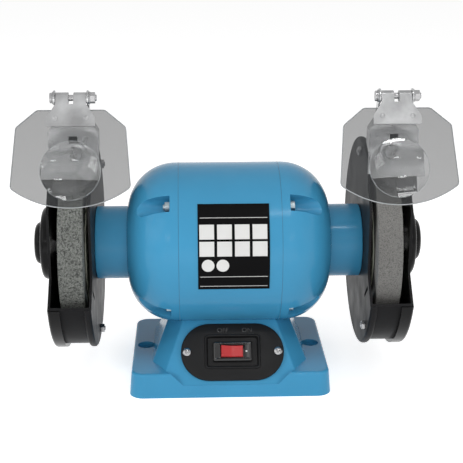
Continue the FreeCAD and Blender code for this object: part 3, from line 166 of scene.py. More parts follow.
def make_fine_grain():
    """Small bumps at two sizes, for sprayed paint, castings and moulded skins."""
    tree, given, wanted = new_effect(
        "fine_grain",
        {"Scale": (FLOAT, 600.0), "Depth": (FLOAT, 1.0)},
        {"Height": FLOAT})
    where = places(tree)
    coarse = noise(tree, given["Scale"], 2.0, where)
    fine = noise(tree, calculate(tree, "MULTIPLY", given["Scale"], 3.0), 2.0, where)
    mixed = calculate(tree, "ADD", coarse, calculate(tree, "MULTIPLY", fine, 0.4))
    plug(tree, calculate(tree, "MULTIPLY", mixed, given["Depth"]), wanted["Height"])
    return tree


def make_edge_wear_and_highlight():
    """A mask that is high along edges, broken up; the edges it marks are lighter, partly from thinned paint
    and partly as a painted highlight.
    """
    tree, given, wanted = new_effect(
        "edge_wear_and_highlight",
        {"Reach": (FLOAT, 0.0006), "Breaks": (FLOAT, 120.0), "Amount": (FLOAT, 0.5)},
        {"Mask": FLOAT})
    rounded = add_node(tree, "ShaderNodeBevel", {"samples": 4}, Radius=given["Reach"])
    turn = add_node(tree, "ShaderNodeVectorMath", {"operation": "DOT_PRODUCT"})
    plug(tree, rounded.outputs["Normal"], turn.inputs[0])
    plug(tree, tree.nodes.new("ShaderNodeNewGeometry").outputs["Normal"], turn.inputs[1])
    edge = spread(tree, turn.outputs["Value"], 0.98, 0.80, 0.0, 1.0)
    broken = spread(tree, noise(tree, given["Breaks"], 4.0), 0.42, 0.6, 0.0, 1.0)
    plug(tree, calculate(tree, "MULTIPLY", calculate(tree, "MULTIPLY", edge, broken), given["Amount"]),
         wanted["Mask"])
    return tree


def make_dust():
    """A thin mask on faces that look up, where dust settles."""
    tree, given, wanted = new_effect("dust", {"Amount": (FLOAT, 0.1)}, {"Mask": FLOAT})
    facing = add_node(tree, "ShaderNodeSeparateXYZ",
                      Vector=tree.nodes.new("ShaderNodeNewGeometry").outputs["Normal"])
    level = spread(tree, facing.outputs["Z"], 0.55, 1.0, 0.0, 1.0)
    patchy = spread(tree, noise(tree, 70.0, 5.0), 0.35, 0.75, 0.2, 1.0)
    plug(tree, calculate(tree, "MULTIPLY", calculate(tree, "MULTIPLY", level, patchy), given["Amount"]),
         wanted["Mask"])
    return tree


EFFECTS = {"mottle": make_mottle(), "handled": make_handled(), "fine_grain": make_fine_grain(),
           "edge_wear_and_highlight": make_edge_wear_and_highlight(), "dust": make_dust()}


def effect(tree, name, **inputs):
    """Place one of the shared effects in a material and return its output."""
    made = tree.nodes.new("ShaderNodeGroup")
    made.node_tree = EFFECTS[name]
    for key, value in inputs.items():
        plug(tree, value, made.inputs[key])
    return made.outputs[0]


def new_finish(name, **sockets):
    """A material with one shader; sockets that are alike all over are set on the shader itself."""
    finish = bpy.data.materials.new(name)
    finish.use_nodes = True
    tree = finish.node_tree
    shader = tree.nodes["Principled BSDF"]
    for key, value in sockets.items():
        shader.inputs[key.replace("_", " ")].default_value = value
    return finish, tree, shader.inputs


def raise_bumps(tree, skin, height, depth, strength=1.0):
    """Bumps of a given depth in metres."""
    bump = add_node(tree, "ShaderNodeBump", Strength=strength, Distance=depth)
    plug(tree, height, bump.inputs["Height"])
    plug(tree, bump.outputs["Normal"], skin["Normal"])


# Finishes

def make_enamel():
    """Sprayed blue enamel with a slight ripple, dusty on top, and lighter on its edges, partly from thinned
    paint and partly as a painted highlight.
    """
    finish, tree, skin = new_finish("blue_enamel", Specular_IOR_Level=0.16)
    body = effect(tree, "mottle", Colour=colour(0.047, 0.262, 0.455), Drift=0.04, Scale=14.0)
    rubbed_and_lit_edges = effect(tree, "edge_wear_and_highlight", Reach=0.0006, Breaks=260.0, Amount=0.30)
    dusty = effect(tree, "dust", Amount=0.012)
    # Lighter blue along the edges: partly thinned paint, partly a painted highlight.
    worn_and_lit = blend_colours(tree, rubbed_and_lit_edges, body, colour(0.13, 0.36, 0.58))
    plug(tree, blend_colours(tree, dusty, worn_and_lit, colour(0.55, 0.60, 0.63)), skin["Base Color"])
    plug(tree, effect(tree, "handled", Least=0.13, Most=0.20, Scale=30.0), skin["Roughness"])
    raise_bumps(tree, skin, effect(tree, "fine_grain", Scale=420.0, Depth=1.0), 0.00006)
    return finish


def make_black(name, tone, least, most, grain, depth, dust=0.02, wear_and_highlight=0.2, gloss=0.25):
    """Black paint or moulded plastic; the tone is its grey and the grain its bumps per metre; its edges are
    lighter, partly from rubbing and partly as a painted highlight.
    """
    finish, tree, skin = new_finish(name, Specular_IOR_Level=gloss)
    body = effect(tree, "mottle", Colour=colour(tone, tone, tone * 1.06), Drift=0.12, Scale=35.0)
    rubbed_and_lit_edges = effect(tree, "edge_wear_and_highlight", Reach=0.0005, Breaks=300.0, Amount=wear_and_highlight)
    dusty = effect(tree, "dust", Amount=dust)
    # Grey along the edges: partly from rubbing, partly a painted highlight.
    worn_and_lit = blend_colours(tree, rubbed_and_lit_edges, body, colour(0.16, 0.16, 0.165))
    plug(tree, blend_colours(tree, dusty, worn_and_lit, colour(0.35, 0.35, 0.34)), skin["Base Color"])
    plug(tree, effect(tree, "handled", Least=least, Most=most, Scale=45.0), skin["Roughness"])
    raise_bumps(tree, skin, effect(tree, "fine_grain", Scale=grain, Depth=1.0), depth)
    return finish


def make_metal(name, tone, least, most, brush=None, drift=0.10, streaks=None):
    """Bare or plated metal; brush stretches its grain along one axis, and streaks lay darker streaks of its
    tone along one axis.
    """
    finish, tree, skin = new_finish(name, Metallic=1.0)
    body = effect(tree, "mottle", Colour=tone, Drift=drift, Scale=55.0)
    if streaks:
        drawn = add_node(tree, "ShaderNodeMapping", Vector=places(tree), Scale=streaks)
        dark_streaks = spread(tree, noise(tree, 1.0, 4.0, drawn.outputs["Vector"]), 0.40, 0.62, 0.0, 0.6)
        body = blend_colours(tree, dark_streaks, body, colour(*[part * 0.35 for part in tone[:3]]))
    plug(tree, body, skin["Base Color"])
    plug(tree, effect(tree, "handled", Least=least, Most=most, Scale=90.0), skin["Roughness"])
    if brush:
        stretched = add_node(tree, "ShaderNodeMapping", Vector=places(tree), Scale=brush)
        raise_bumps(tree, skin, noise(tree, 1.0, 3.0, stretched.outputs["Vector"]), 0.00003)
    else:
        raise_bumps(tree, skin, effect(tree, "fine_grain", Scale=500.0, Depth=1.0), 0.00003)
    return finish


def make_stone(name, grit, pale, dark, pore_shade):
    """Bonded grit: pale and dark grains with open pores between them; the pores are painted darker as painted
    shade inside them, and the last argument sets how dark.
    """
    finish, tree, skin = new_finish(name, Roughness=0.92, Specular_IOR_Level=0.2)
    where = places(tree)
    cells = add_node(tree, "ShaderNodeTexVoronoi", Vector=where, Scale=grit)
    shade = add_node(tree, "ShaderNodeSeparateColor", Color=cells.outputs["Color"])
    grains = blend_colours(tree, spread(tree, shade.outputs["Red"], 0.1, 0.95, 0.0, 1.0), dark, pale)
    pores = spread(tree, noise(tree, grit * 0.45, 3.0, where), 0.36, 0.50, 0.0, 1.0)
    # Painted shade: the open pores are coloured darker than the grains.
    pore_shaded = blend_colours(tree, pores, colour(*[part * pore_shade for part in dark[:3]]), grains)
    plug(tree, effect(tree, "mottle", Colour=pore_shaded, Drift=0.07, Scale=25.0), skin["Base Color"])
    height = calculate(tree, "ADD", calculate(tree, "MULTIPLY", shade.outputs["Red"], 0.4), pores)
    raise_bumps(tree, skin, height, 0.4 / grit)
    return finish


def make_plain(name, tone, least, most, drift=0.08, grain=500.0, depth=0.00004, **sockets):
    """A painted, moulded or paper surface of one tone with its own drift, gloss and grain."""
    finish, tree, skin = new_finish(name, **sockets)
    plug(tree, effect(tree, "mottle", Colour=tone, Drift=drift, Scale=40.0), skin["Base Color"])
    plug(tree, effect(tree, "handled", Least=least, Most=most, Scale=60.0), skin["Roughness"])
    raise_bumps(tree, skin, effect(tree, "fine_grain", Scale=grain, Depth=1.0), depth)
    return finish


def let_through(tree, share):
    """Mix a finish with plain see-through where the share is high, so that light passes."""
    choice = add_node(tree, "ShaderNodeMixShader")
    plug(tree, share, choice.inputs[0])
    tree.links.new(tree.nodes["Principled BSDF"].outputs[0], choice.inputs[1])
    tree.links.new(tree.nodes.new("ShaderNodeBsdfTransparent").outputs[0], choice.inputs[2])
    tree.links.new(choice.outputs[0], tree.nodes["Material Output"].inputs["Surface"])


def make_clear(name, tint, cover, most):
    """A clear sheet that looks smoked from outside and lets the light in, with faint wiping marks."""
    finish, tree, skin = new_finish(name, Alpha=cover, IOR=1.49)
    plug(tree, effect(tree, "mottle", Colour=tint, Drift=0.05, Scale=20.0), skin["Base Color"])
    plug(tree, effect(tree, "handled", Least=0.03, Most=most, Scale=25.0), skin["Roughness"])
    seen = tree.nodes.new("ShaderNodeLightPath").outputs
    in_view = calculate(tree, "MAXIMUM", seen["Is Camera Ray"], seen["Is Transmission Ray"])
    let_through(tree, calculate(tree, "SUBTRACT", 1.0, in_view))
    return finish


def make_lens_glass():
    """Clear glass that bends the view behind it, with light let through to what lies there."""
    finish, tree, skin = new_finish("lens_glass", Transmission_Weight=1.0, IOR=1.49)
    plug(tree, effect(tree, "mottle", Colour=colour(0.86, 0.865, 0.865), Drift=0.02, Scale=20.0),
         skin["Base Color"])
    plug(tree, effect(tree, "handled", Least=0.0, Most=0.02, Scale=25.0), skin["Roughness"])
    let_through(tree, tree.nodes.new("ShaderNodeLightPath").outputs["Is Shadow Ray"])
    return finish


STEEL_TONE = colour(0.62, 0.61, 0.60)
FINISH = {
    "blue": make_enamel(),
    "guard": make_black("guard_grey", 0.015, 0.30, 0.44, 500.0, 0.00005, gloss=0.03),
    "cover": make_black("cover_black", 0.0045, 0.12, 0.20, 450.0, 0.00003, gloss=0.12),
    "label": make_black("label_black", 0.004, 0.30, 0.42, 900.0, 0.00001, dust=0.0, wear_and_highlight=0.0, gloss=0.03),
    "plastic": make_black("black_plastic", 0.007, 0.36, 0.50, 1400.0, 0.00006, gloss=0.18),
    "gloss_plastic": make_black("gloss_plastic", 0.005, 0.10, 0.16, 900.0, 0.00002, gloss=0.6),
    "rubber": make_black("black_rubber", 0.022, 0.55, 0.70, 900.0, 0.00008, wear_and_highlight=0.0),
    "zinc": make_metal("zinc_plate", colour(0.36, 0.363, 0.367), 0.30, 0.46, drift=0.25),
    # The bracket plates and their washers are the same zinc plating as the clips; this lighter tone is a
    # painted reflection of the light things in front of them.
    "lit_zinc": make_metal("zinc_plate_painted_lit", colour(0.53, 0.535, 0.54), 0.16, 0.28, drift=0.06,
                         streaks=(6.0, 30.0, 95.0)),
    "steel": make_metal("turned_steel", STEEL_TONE, 0.22, 0.36, (900.0, 60.0, 60.0)),
    "screw": make_metal("screw_steel", colour(0.36, 0.36, 0.365), 0.20, 0.34),
    "bolt": make_metal("shaded_bolt", colour(0.36, 0.42, 0.45), 0.30, 0.45),
    "lamination": make_metal("lamination_steel", colour(0.30, 0.30, 0.32), 0.40, 0.55,
                             (2600.0, 20.0, 20.0)),
    "copper": make_metal("winding_copper", colour(0.72, 0.32, 0.16), 0.30, 0.45, (30.0, 1500.0, 1500.0)),
    "cage": make_metal("cast_cage", colour(0.60, 0.61, 0.62), 0.40, 0.55),
    "can": make_metal("capacitor_can", colour(0.66, 0.67, 0.68), 0.25, 0.38, (40.0, 700.0, 700.0)),
    "coarse_stone": make_stone("coarse_stone", 1500.0, colour(0.205, 0.214, 0.20),
                               colour(0.112, 0.117, 0.11), 0.5),
    "fine_stone": make_stone("fine_stone", 2300.0, colour(0.195, 0.193, 0.185),
                             colour(0.148, 0.146, 0.14), 0.72),
    "paper": make_plain("blotting_paper", colour(0.60, 0.63, 0.52), 0.80, 0.92, grain=1500.0,
                        depth=0.00006),
    "red": make_plain("red_plastic", colour(0.42, 0.016, 0.018), 0.25, 0.36, grain=1500.0),
    "pale": make_plain("pale_print", colour(0.62, 0.62, 0.61), 0.40, 0.52, drift=0.04),
    "terminal": make_plain("terminal_plastic", colour(0.70, 0.67, 0.58), 0.40, 0.52),
    "clear": make_clear("smoked_sheet", colour(0.02, 0.022, 0.024), 0.43, 0.08),
    # A pale, half see-through tube round each shield: painted highlight on its polished edge.
    "clear_edge_highlight": make_plain("painted_sheet_edge_highlight", colour(0.42, 0.44, 0.45), 0.20, 0.30, Alpha=0.75),
    # A faint pale ring round each lens: painted highlight on the lens's edge.
    "lens_rim_highlight": make_plain("lens_rim_highlight", colour(0.40, 0.42, 0.43), 0.20, 0.30, Alpha=0.30),
    # Dark blue for the casing joints: painted shade where bells meet the band.
    "seam_shade": make_plain("seam_shadow", colour(0.022, 0.135, 0.235), 0.40, 0.55),
    "lens": make_lens_glass(),
}


# Dressing the pieces that come from the construction

def both_sides(table):
    """A table of pieces that come in pairs, with the side put before each name."""
    return {f"{side}_{name}": value for side in SIDES for name, value in table.items()}


NODE_FINISH = {
    "stator_housing": "blue", "base_casting": "blue", "through_bolts": "bolt", "through_bolt_nuts": "bolt",
    "rating_label": "label", "stator_core": "lamination", "stator_windings": "copper", "shaft": "steel",
    "rotor_core": "lamination", "rotor_cage": "cage", "bearing_inner_rings": "steel",
    "bearing_outer_rings": "steel", "bearing_balls": "steel", "left_wheel": "coarse_stone",
    "right_wheel": "fine_stone", "wheel_blotters": "paper", "arbor_nuts": "screw", "cover_screws": "screw",
    "cover_nuts": "screw", "guard_screws": "screw", "bracket_screws": "screw", "bracket_washers": "lit_zinc",
    "bracket_nuts": "screw", "saddle_bolts": "screw", "base_plate": "zinc", "base_plate_screws": "screw",
    "capacitor": "can", "capacitor_clip": "zinc", "terminal_block": "terminal", "cable_gland": "rubber",
    "switch_plate": "plastic", "switch_plate_screws": "screw", "switch_body": "plastic",
    "switch_rocker": "red",
    **both_sides({
        "end_bell": "blue", "inner_flange": "steel", "outer_flange": "steel", "guard": "guard",
        "guard_cover": "cover", "spark_bracket": "lit_zinc", "hinge_bolt": "screw", "hinge_nut": "screw",
        "hinge_washers": "zinc", "shield_clip": "zinc", "eye_shield": "clear", "magnifier": "lens",
    }),
}
SMOOTH_BELOW = math.radians(32)


def soften(piece, width, segments=2, angle=30):
    """Round a piece's hard edges a little, so that they catch the light."""
    weld = piece.modifiers.new("weld", "WELD")
    weld.merge_threshold = SAME_POINT
    flat = piece.modifiers.new("flatten", "DECIMATE")
    flat.decimate_type = "DISSOLVE"
    flat.angle_limit = math.radians(1.0)
    round_edges = piece.modifiers.new("round_edges", "BEVEL")
    round_edges.width = width
    round_edges.segments = segments
    round_edges.limit_method = "ANGLE"
    round_edges.angle_limit = math.radians(angle)
    even = piece.modifiers.new("even_shading", "WEIGHTED_NORMAL")
    even.keep_sharp = True


def shade(piece, finish, angle=SMOOTH_BELOW):
    """Give a piece its finish, with smooth faces between its hard edges."""
    mesh = piece.data
    mesh.materials.clear()
    mesh.materials.append(FINISH[finish])
    mesh.shade_smooth()
    mesh.set_sharp_from_angle(angle=angle)


for name, finish in NODE_FINISH.items():
    shade(bpy.data.objects[name], finish)


# Widths of the rounded edges, in millimetres
SOFT_EDGES = {
    "base_casting": 1.1, "stator_housing": 0.35, "cover_nuts": 0.4, "bracket_nuts": 0.4,
    "bracket_washers": 0.3, "through_bolts": 0.4, "through_bolt_nuts": 0.4, "arbor_nuts": 0.6,
    "cable_gland": 0.6, "base_plate": 0.2, "wheel_blotters": 0.1,
    **both_sides({
        "end_bell": 0.5, "guard": 0.3, "guard_cover": 0.3, "spark_bracket": 0.25, "shield_clip": 0.25,
        "hinge_nut": 0.35, "hinge_bolt": 0.3, "hinge_washers": 0.15, "wheel": 0.8, "outer_flange": 0.5,
    }),
}
for name, width in SOFT_EDGES.items():
    soften(bpy.data.objects[name], width * MM)


# Making pieces

def add_piece(name, finish, body, slot, vertices, faces, stands_for=(), angle=SMOOTH_BELOW):
    """A new piece that moves with a body, in metres in the shared frame."""
    mesh = bpy.data.meshes.new(name)
    mesh.from_pydata([tuple(point) for point in vertices], [], faces)
    mesh.validate()
    return settle(bpy.data.objects.new(name, mesh), finish, body, stands_for, angle)


def settle(piece, finish, body, stands_for=(), angle=SMOOTH_BELOW):
    """Clean a new piece's mesh, finish it, tie it to its body and hide the nodes it stands for."""
    scene.collection.objects.link(piece)
    work = bmesh.new()
    work.from_mesh(piece.data)
    bmesh.ops.remove_doubles(work, verts=work.verts, dist=SAME_POINT / 2)
    bmesh.ops.recalc_face_normals(work, faces=work.faces)
    work.to_mesh(piece.data)
    work.free()
    shade(piece, finish, angle)
    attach(piece, body)
    for node in stands_for:
        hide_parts(node)
    return piece


def merge(*shapes):
    """Join shapes, each a list of points and a list of faces, into one."""
    points, faces = [], []
    for more_points, more_faces in shapes:
        start = len(points)
        points.extend(more_points)
        faces.extend([tuple(index + start for index in face) for face in more_faces])
    return points, faces


def placed(shape, matrix):
    """A shape carried to a place."""
    points, faces = shape
    return [matrix @ Vector(point) for point in points], faces


def frame_at(origin, z_axis, x_axis=(1, 0, 0)):
    """A place whose Z runs along an axis, with X as near as can be to a given way."""
    z_axis = Vector(z_axis).normalized()
    y_axis = z_axis.cross(Vector(x_axis)).normalized()
    x_axis = y_axis.cross(z_axis)
    matrix = Matrix((x_axis, y_axis, z_axis)).transposed().to_4x4()
    matrix.translation = Vector(origin)
    return matrix


def lathe(profile, steps=64):
    """Turn (radius, height) points about Z; the ends close where the radius is nought."""
    points, rows = [], []
    for radius, height in profile:
        if radius < 1e-9:
            rows.append([len(points)] * steps)
            points.append((0.0, 0.0, height))
            continue
        rows.append(list(range(len(points), len(points) + steps)))
        for step in range(steps):
            angle = math.tau * step / steps
            points.append((radius * math.cos(angle), radius * math.sin(angle), height))
    faces = []
    for low, high in zip(rows, rows[1:]):
        for step in range(steps):
            nxt = (step + 1) % steps
            ring = [low[step], low[nxt], high[nxt], high[step]]
            face = tuple(dict.fromkeys(ring))
            if len(face) > 2:
                faces.append(face)
    return points, faces


def arc(centre, radius, start, end, steps=6):
    """Points along an arc in a plane, with angles in degrees."""
    found = []
    for step in range(steps + 1):
        angle = math.radians(start + (end - start) * step / steps)
        found.append((centre[0] + radius * math.cos(angle), centre[1] + radius * math.sin(angle)))
    return found


def rounded_box(width, height, radius, steps=6):
    """Outline of a rectangle with round corners, about the origin."""
    u, v = width / 2 - radius, height / 2 - radius
    return (arc((u, v), radius, 0, 90, steps) + arc((-u, v), radius, 90, 180, steps)
            + arc((-u, -v), radius, 180, 270, steps) + arc((u, -v), radius, 270, 360, steps))


def stack(loops, close_start=False, close_end=False):
    """Skin rows of points that all have the same count, as rings."""
    count = len(loops[0])
    points = [point for loop in loops for point in loop]
    faces = []
    for row in range(len(loops) - 1):
        for step in range(count):
            nxt = (step + 1) % count
            low, high = row * count, (row + 1) * count
            faces.append((low + step, low + nxt, high + nxt, high + step))
    if close_start:
        faces.append(tuple(range(count)))
    if close_end:
        faces.append(tuple(range((len(loops) - 1) * count, len(loops) * count)))
    return points, faces


def cross_screw(radius, height, length, shank, steps=72):
    """A pan head screw with a cross recess; its head stands on Z = 0 and its shank runs down."""
    dome = [(radius, 0.0), (radius, height * 0.35)]
    dome += [(radius * math.cos(math.radians(a)), height * (0.35 + 0.65 * math.sin(math.radians(a))))
             for a in (15, 30, 45, 60)]
    points, faces = lathe([(0.0, -length), (shank, -length), (shank, 0.0)] + dome, steps)
    reach = dome[-1][0]
    rows = [list(range(len(points) - steps, len(points)))]
    for ring in range(13, -1, -1):
        share = ring / 14
        rows.append(list(range(len(points), len(points) + steps)))
        for step in range(steps):
            angle = math.tau * step / steps
            u, v = reach * share * math.cos(angle), reach * share * math.sin(angle)
            level = height * (0.35 + 0.65 * math.sqrt(max(0.0, 1 - (reach * share / radius) ** 2)))
            narrow, wide = sorted((abs(u), abs(v)))
            inside = narrow < radius * 0.13 and wide < radius * 0.62
            points.append((u, v, level - (height * 0.55 if inside else 0.0)))
    for low, high in zip(rows, rows[1:]):
        for step in range(steps):
            nxt = (step + 1) % steps
            faces.append((low[step], low[nxt], high[nxt], high[step]))
    return points, faces


# Switch

PANEL_TILT = math.radians(37)
PANEL_OUT = Vector((0, -math.cos(PANEL_TILT), math.sin(PANEL_TILT)))
# From the plate's face to the highest point of its solid
PLATE_RISE = 1.6 * MM


def panel_place():
    """The switch's place on the slanted panel: X along it, Y up the slope and Z out of it."""
    corners = [v.co for v in nodes["switch_plate"].data.vertices]
    face = max(PANEL_OUT.dot(corner) for corner in corners) - PLATE_RISE
    slope_up = PANEL_OUT.cross(Vector((1, 0, 0)))
    ups = [slope_up.dot(corner) for corner in corners]
    low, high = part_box("switch_plate")
    origin = Vector(((low.x + high.x) / 2, 0, 0)) + slope_up * (min(ups) + max(ups)) / 2
    return frame_at(origin + PANEL_OUT * face, PANEL_OUT)


def make_switch():
    """The switch's plate with a raised ridge round a sunken tray, and the switch's frame in the tray."""
    on_panel = panel_place()

    def ring(width, height, corner, level):
        """An outline in millimetres, at a level above the plate's face."""
        return [(u * MM, v * MM, level * MM) for u, v in rounded_box(width, height, corner, 20)]
    loops = [ring(87, 49, 24.4, -2.5), ring(87, 49, 24.4, -0.8), ring(86.5, 48.5, 24.15, -0.25),
             ring(85.4, 47.4, 23.6, 0), ring(47.4, 30.0, 3.2, 0), ring(46.8, 29.4, 3.0, 0.7),
             ring(46.0, 28.6, 2.8, 1.3), ring(45.0, 27.6, 2.5, 1.5), ring(44.0, 26.6, 2.2, 1.3),
             ring(43.2, 25.8, 1.9, 0.7), ring(41.4, 24.0, 1.6, -1.5), ring(30, 14.4, 1.0, -1.5),
             ring(30, 14.4, 1.0, -2.5)]
    add_piece("switch_face", "plastic", "frame", "black_plastic",
              *placed(stack(loops + [loops[0]]), on_panel),
              stands_for=("switch_plate",), angle=math.radians(50))
    module = [ring(29, 13.5, 1.0, -20), ring(29, 13.5, 1.0, -1.5), ring(33, 17, 1.6, -1.5),
              ring(33, 17, 1.6, 0.6), ring(32.5, 16.5, 1.5, 1.4), ring(31.4, 15.4, 1.2, 2.0),
              ring(27.8, 12.9, 0.9, 2.0), ring(25.8, 11.7, 0.8, 1.0), ring(21.2, 11.2, 0.6, 1.0),
              ring(21.2, 11.2, 0.6, -6)]
    add_piece("switch_module", "gloss_plastic", "frame", "black_plastic",
              *placed(stack(module, close_start=True, close_end=True), on_panel),
              stands_for=("switch_body",), angle=math.radians(50))
    dot = lathe([(0.0, 0.0), (0.8 * MM, 0.0), (0.8 * MM, 0.2 * MM), (0.5 * MM, 0.4 * MM),
                 (0.0, 0.45 * MM)], 20)
    spot = on_panel @ Matrix.Translation((11.75 * MM, 0, 0.98 * MM))
    add_piece("switch_dot", "pale", "frame", "black_plastic", *placed(dot, spot))
    for word, x in (("OFF", -8.0), ("ON", 12.6)):
        raise_word(word, on_panel @ Matrix.Translation((x * MM, 18.4 * MM, 0)))


def raise_word(word, place):
    """A word that stands up from the switch plate."""
    text = bpy.data.curves.new("word_" + word, "FONT")
    text.body = word
    text.size = 5.6 * MM
    text.align_x, text.align_y = "CENTER", "CENTER"
    text.extrude = 0.18 * MM
    text.bevel_depth = 0.05 * MM
    text.resolution_u = 3
    lettering = bpy.data.objects.new("word_maker", text)
    mesh = bpy.data.meshes.new_from_object(lettering)
    bpy.data.objects.remove(lettering)
    mesh.transform(place)
    settle(bpy.data.objects.new("switch_word_" + word.lower(), mesh), "gloss_plastic", "frame")


def make_rocker():
    """A rocker with a hollow face, pressed at its OFF end."""
    on_panel = panel_place()
    half_u, half_v, edge = 9.2 * MM, 4.9 * MM, 0.5 * MM
    tilt = Matrix.Translation((-0.6 * MM, 0, 0)) @ Matrix.Rotation(math.radians(8), 4, "Y")
    points, faces = [], []
    us = [-1.0, -0.95, -0.6, -0.3, -0.06, 0.06, 0.3, 0.6, 0.95, 1.0]
    vs = [-1.0, -0.92, -0.5, 0.0, 0.5, 0.92, 1.0]
    for v in vs:
        for u in us:
            level = 1.2 * MM + abs(u) * 1.5 * MM
            if abs(u) > 0.99 or abs(v) > 0.99:
                level -= edge
            points.append((u * half_u, v * half_v, level))
    for row in range(len(vs) - 1):
        for column in range(len(us) - 1):
            first = row * len(us) + column
            faces.append((first, first + 1, first + len(us) + 1, first + len(us)))
    rim = list(range(len(us)))
    rim += [row * len(us) + len(us) - 1 for row in range(1, len(vs))]
    rim += [(len(vs) - 1) * len(us) + column for column in range(len(us) - 2, -1, -1)]
    rim += [row * len(us) for row in range(len(vs) - 2, 0, -1)]
    skirt = len(points)
    points += [(points[index][0], points[index][1], -2.0 * MM) for index in rim]
    for step in range(len(rim)):
        nxt = (step + 1) % len(rim)
        faces.append((rim[step], rim[nxt], skirt + nxt, skirt + step))
    add_piece("rocker_cap", "red", "rocker", "red_plastic", *placed((points, faces), on_panel @ tilt),
              stands_for=("switch_rocker",), angle=math.radians(12))


make_switch()
make_rocker()


# Screws

SCREW_SMOOTH = math.radians(40)


def islands(node):
    """Boxes of the separate solids of a node, as pairs of low and high corners."""
    work = bmesh.new()
    work.from_mesh(nodes[node].data)
    bmesh.ops.remove_doubles(work, verts=work.verts, dist=SAME_POINT)
    work.verts.ensure_lookup_table()
    seen, boxes = set(), []
    for first in work.verts:
        if first.index in seen:
            continue
        group, waiting = [], [first]
        seen.add(first.index)
        while waiting:
            vertex = waiting.pop()
            group.append(vertex.co.copy())
            for edge in vertex.link_edges:
                other = edge.other_vert(vertex)
                if other.index not in seen:
                    seen.add(other.index)
                    waiting.append(other)
        boxes.append((Vector([min(p[i] for p in group) for i in range(3)]),
                      Vector([max(p[i] for p in group) for i in range(3)])))
    work.free()
    return boxes


def make_screws():
    """The screws that are seen, with cross recesses in their heads."""
    shapes = []
    head_radius, head_height, shank = 5 * MM, 3.6 * MM, 3 * MM
    for low, high in islands("bracket_screws"):
        middle = (low + high) / 2
        head = Vector((middle.x, low.y + head_height, middle.z))
        place = frame_at(head, (0, -1, 0), (0.8, 0, 0.6))
        shapes.append(placed(cross_screw(head_radius, head_height, high.y - head.y, shank), place))
    add_piece("bracket_screw_pair", "screw", "frame", "zinc", *merge(*shapes), stands_for=("bracket_screws",),
              angle=SCREW_SMOOTH)
    shapes = []
    head_radius, head_height, shank = 3.6 * MM, 2.4 * MM, 2 * MM
    for low, high in islands("cover_screws"):
        middle = (low + high) / 2
        sign = 1 if middle.x > 0 else -1
        outer = high.x if sign > 0 else low.x
        head = Vector((outer - sign * head_height, middle.y, middle.z))
        place = frame_at(head, (sign, 0, 0), (0, 0.7, 0.7))
        length = abs(outer - (low.x if sign > 0 else high.x)) - head_height
        shapes.append(placed(cross_screw(head_radius, head_height, length, shank, 48), place))
    add_piece("cover_screw_set", "screw", "frame", "zinc", *merge(*shapes), stands_for=("cover_screws",),
              angle=SCREW_SMOOTH)
    shapes = []
    head_radius, head_height, shank, length, aside = 3.65 * MM, 2 * MM, 1.75 * MM, 9 * MM, 38.5 * MM
    on_panel = panel_place()
    for turn, x in ((0.5, -aside), (1.1, aside)):
        place = on_panel @ Matrix.Translation((x, 0, 0)) @ Matrix.Rotation(turn, 4, "Z")
        shapes.append(placed(cross_screw(head_radius, head_height, length, shank), place))
    add_piece("switch_screw_pair", "screw", "frame", "zinc", *merge(*shapes),
              stands_for=("switch_plate_screws",), angle=SCREW_SMOOTH)


make_screws()


# Eye shields

def sheet_place(node):
    """A shield's front face: its middle, with Z out of the front and X along the hinge."""
    faces = nodes[node].data.polygons
    widest = max(faces, key=lambda face: face.area)
    out = widest.normal.copy()
    if out.y > 0:
        out.negate()
    broad = [face for face in faces if face.normal.dot(out) > 0.99 and face.area > widest.area / 4]
    front = max(out.dot(face.center) for face in broad)
    low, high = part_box(node)
    middle = (low + high) / 2
    return frame_at(middle + out * (front - out.dot(middle)), out)


def make_lens(side):
    """A round lens with a domed front, set just off the sheet."""
    place = sheet_place(f"{side}_eye_shield")
    low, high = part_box(f"{side}_magnifier")
    centre = place.inverted() @ ((low + high) / 2)
    radius, edge, crown, lift = 23.5 * MM, 0.5 * MM, 1.8 * MM, 0.04 * MM
    ball = (radius * radius + crown * crown) / (2 * crown)
    rim = radius - 0.25 * MM
    profile = [(0.0, lift), (rim, lift), (radius, lift + 0.15 * MM), (radius, edge)]
    for step in range(1, 15):
        at = radius * (1 - step / 14)
        profile.append((at, edge + math.sqrt(ball * ball - at * at) - (ball - crown)))
    spot = place @ Matrix.Translation((centre.x, centre.y, 0))
    add_piece(f"{side}_lens", "lens", f"{side}_shield", "clear_sheet", *placed(lathe(profile, 96), spot),
              stands_for=(f"{side}_magnifier",), angle=math.radians(40))
    # A thin pale ring just outside the lens: painted highlight along its edge.
    rim_highlight = lathe([(radius + 0.02 * MM, lift), (radius + 0.45 * MM, lift), (radius + 0.30 * MM, edge),
                      (radius + 0.02 * MM, edge + 0.05 * MM), (radius + 0.02 * MM, lift)], 96)
    add_piece(f"{side}_lens_rim_painted_highlight", "lens_rim_highlight", f"{side}_shield", "clear_sheet", *placed(rim_highlight, spot))


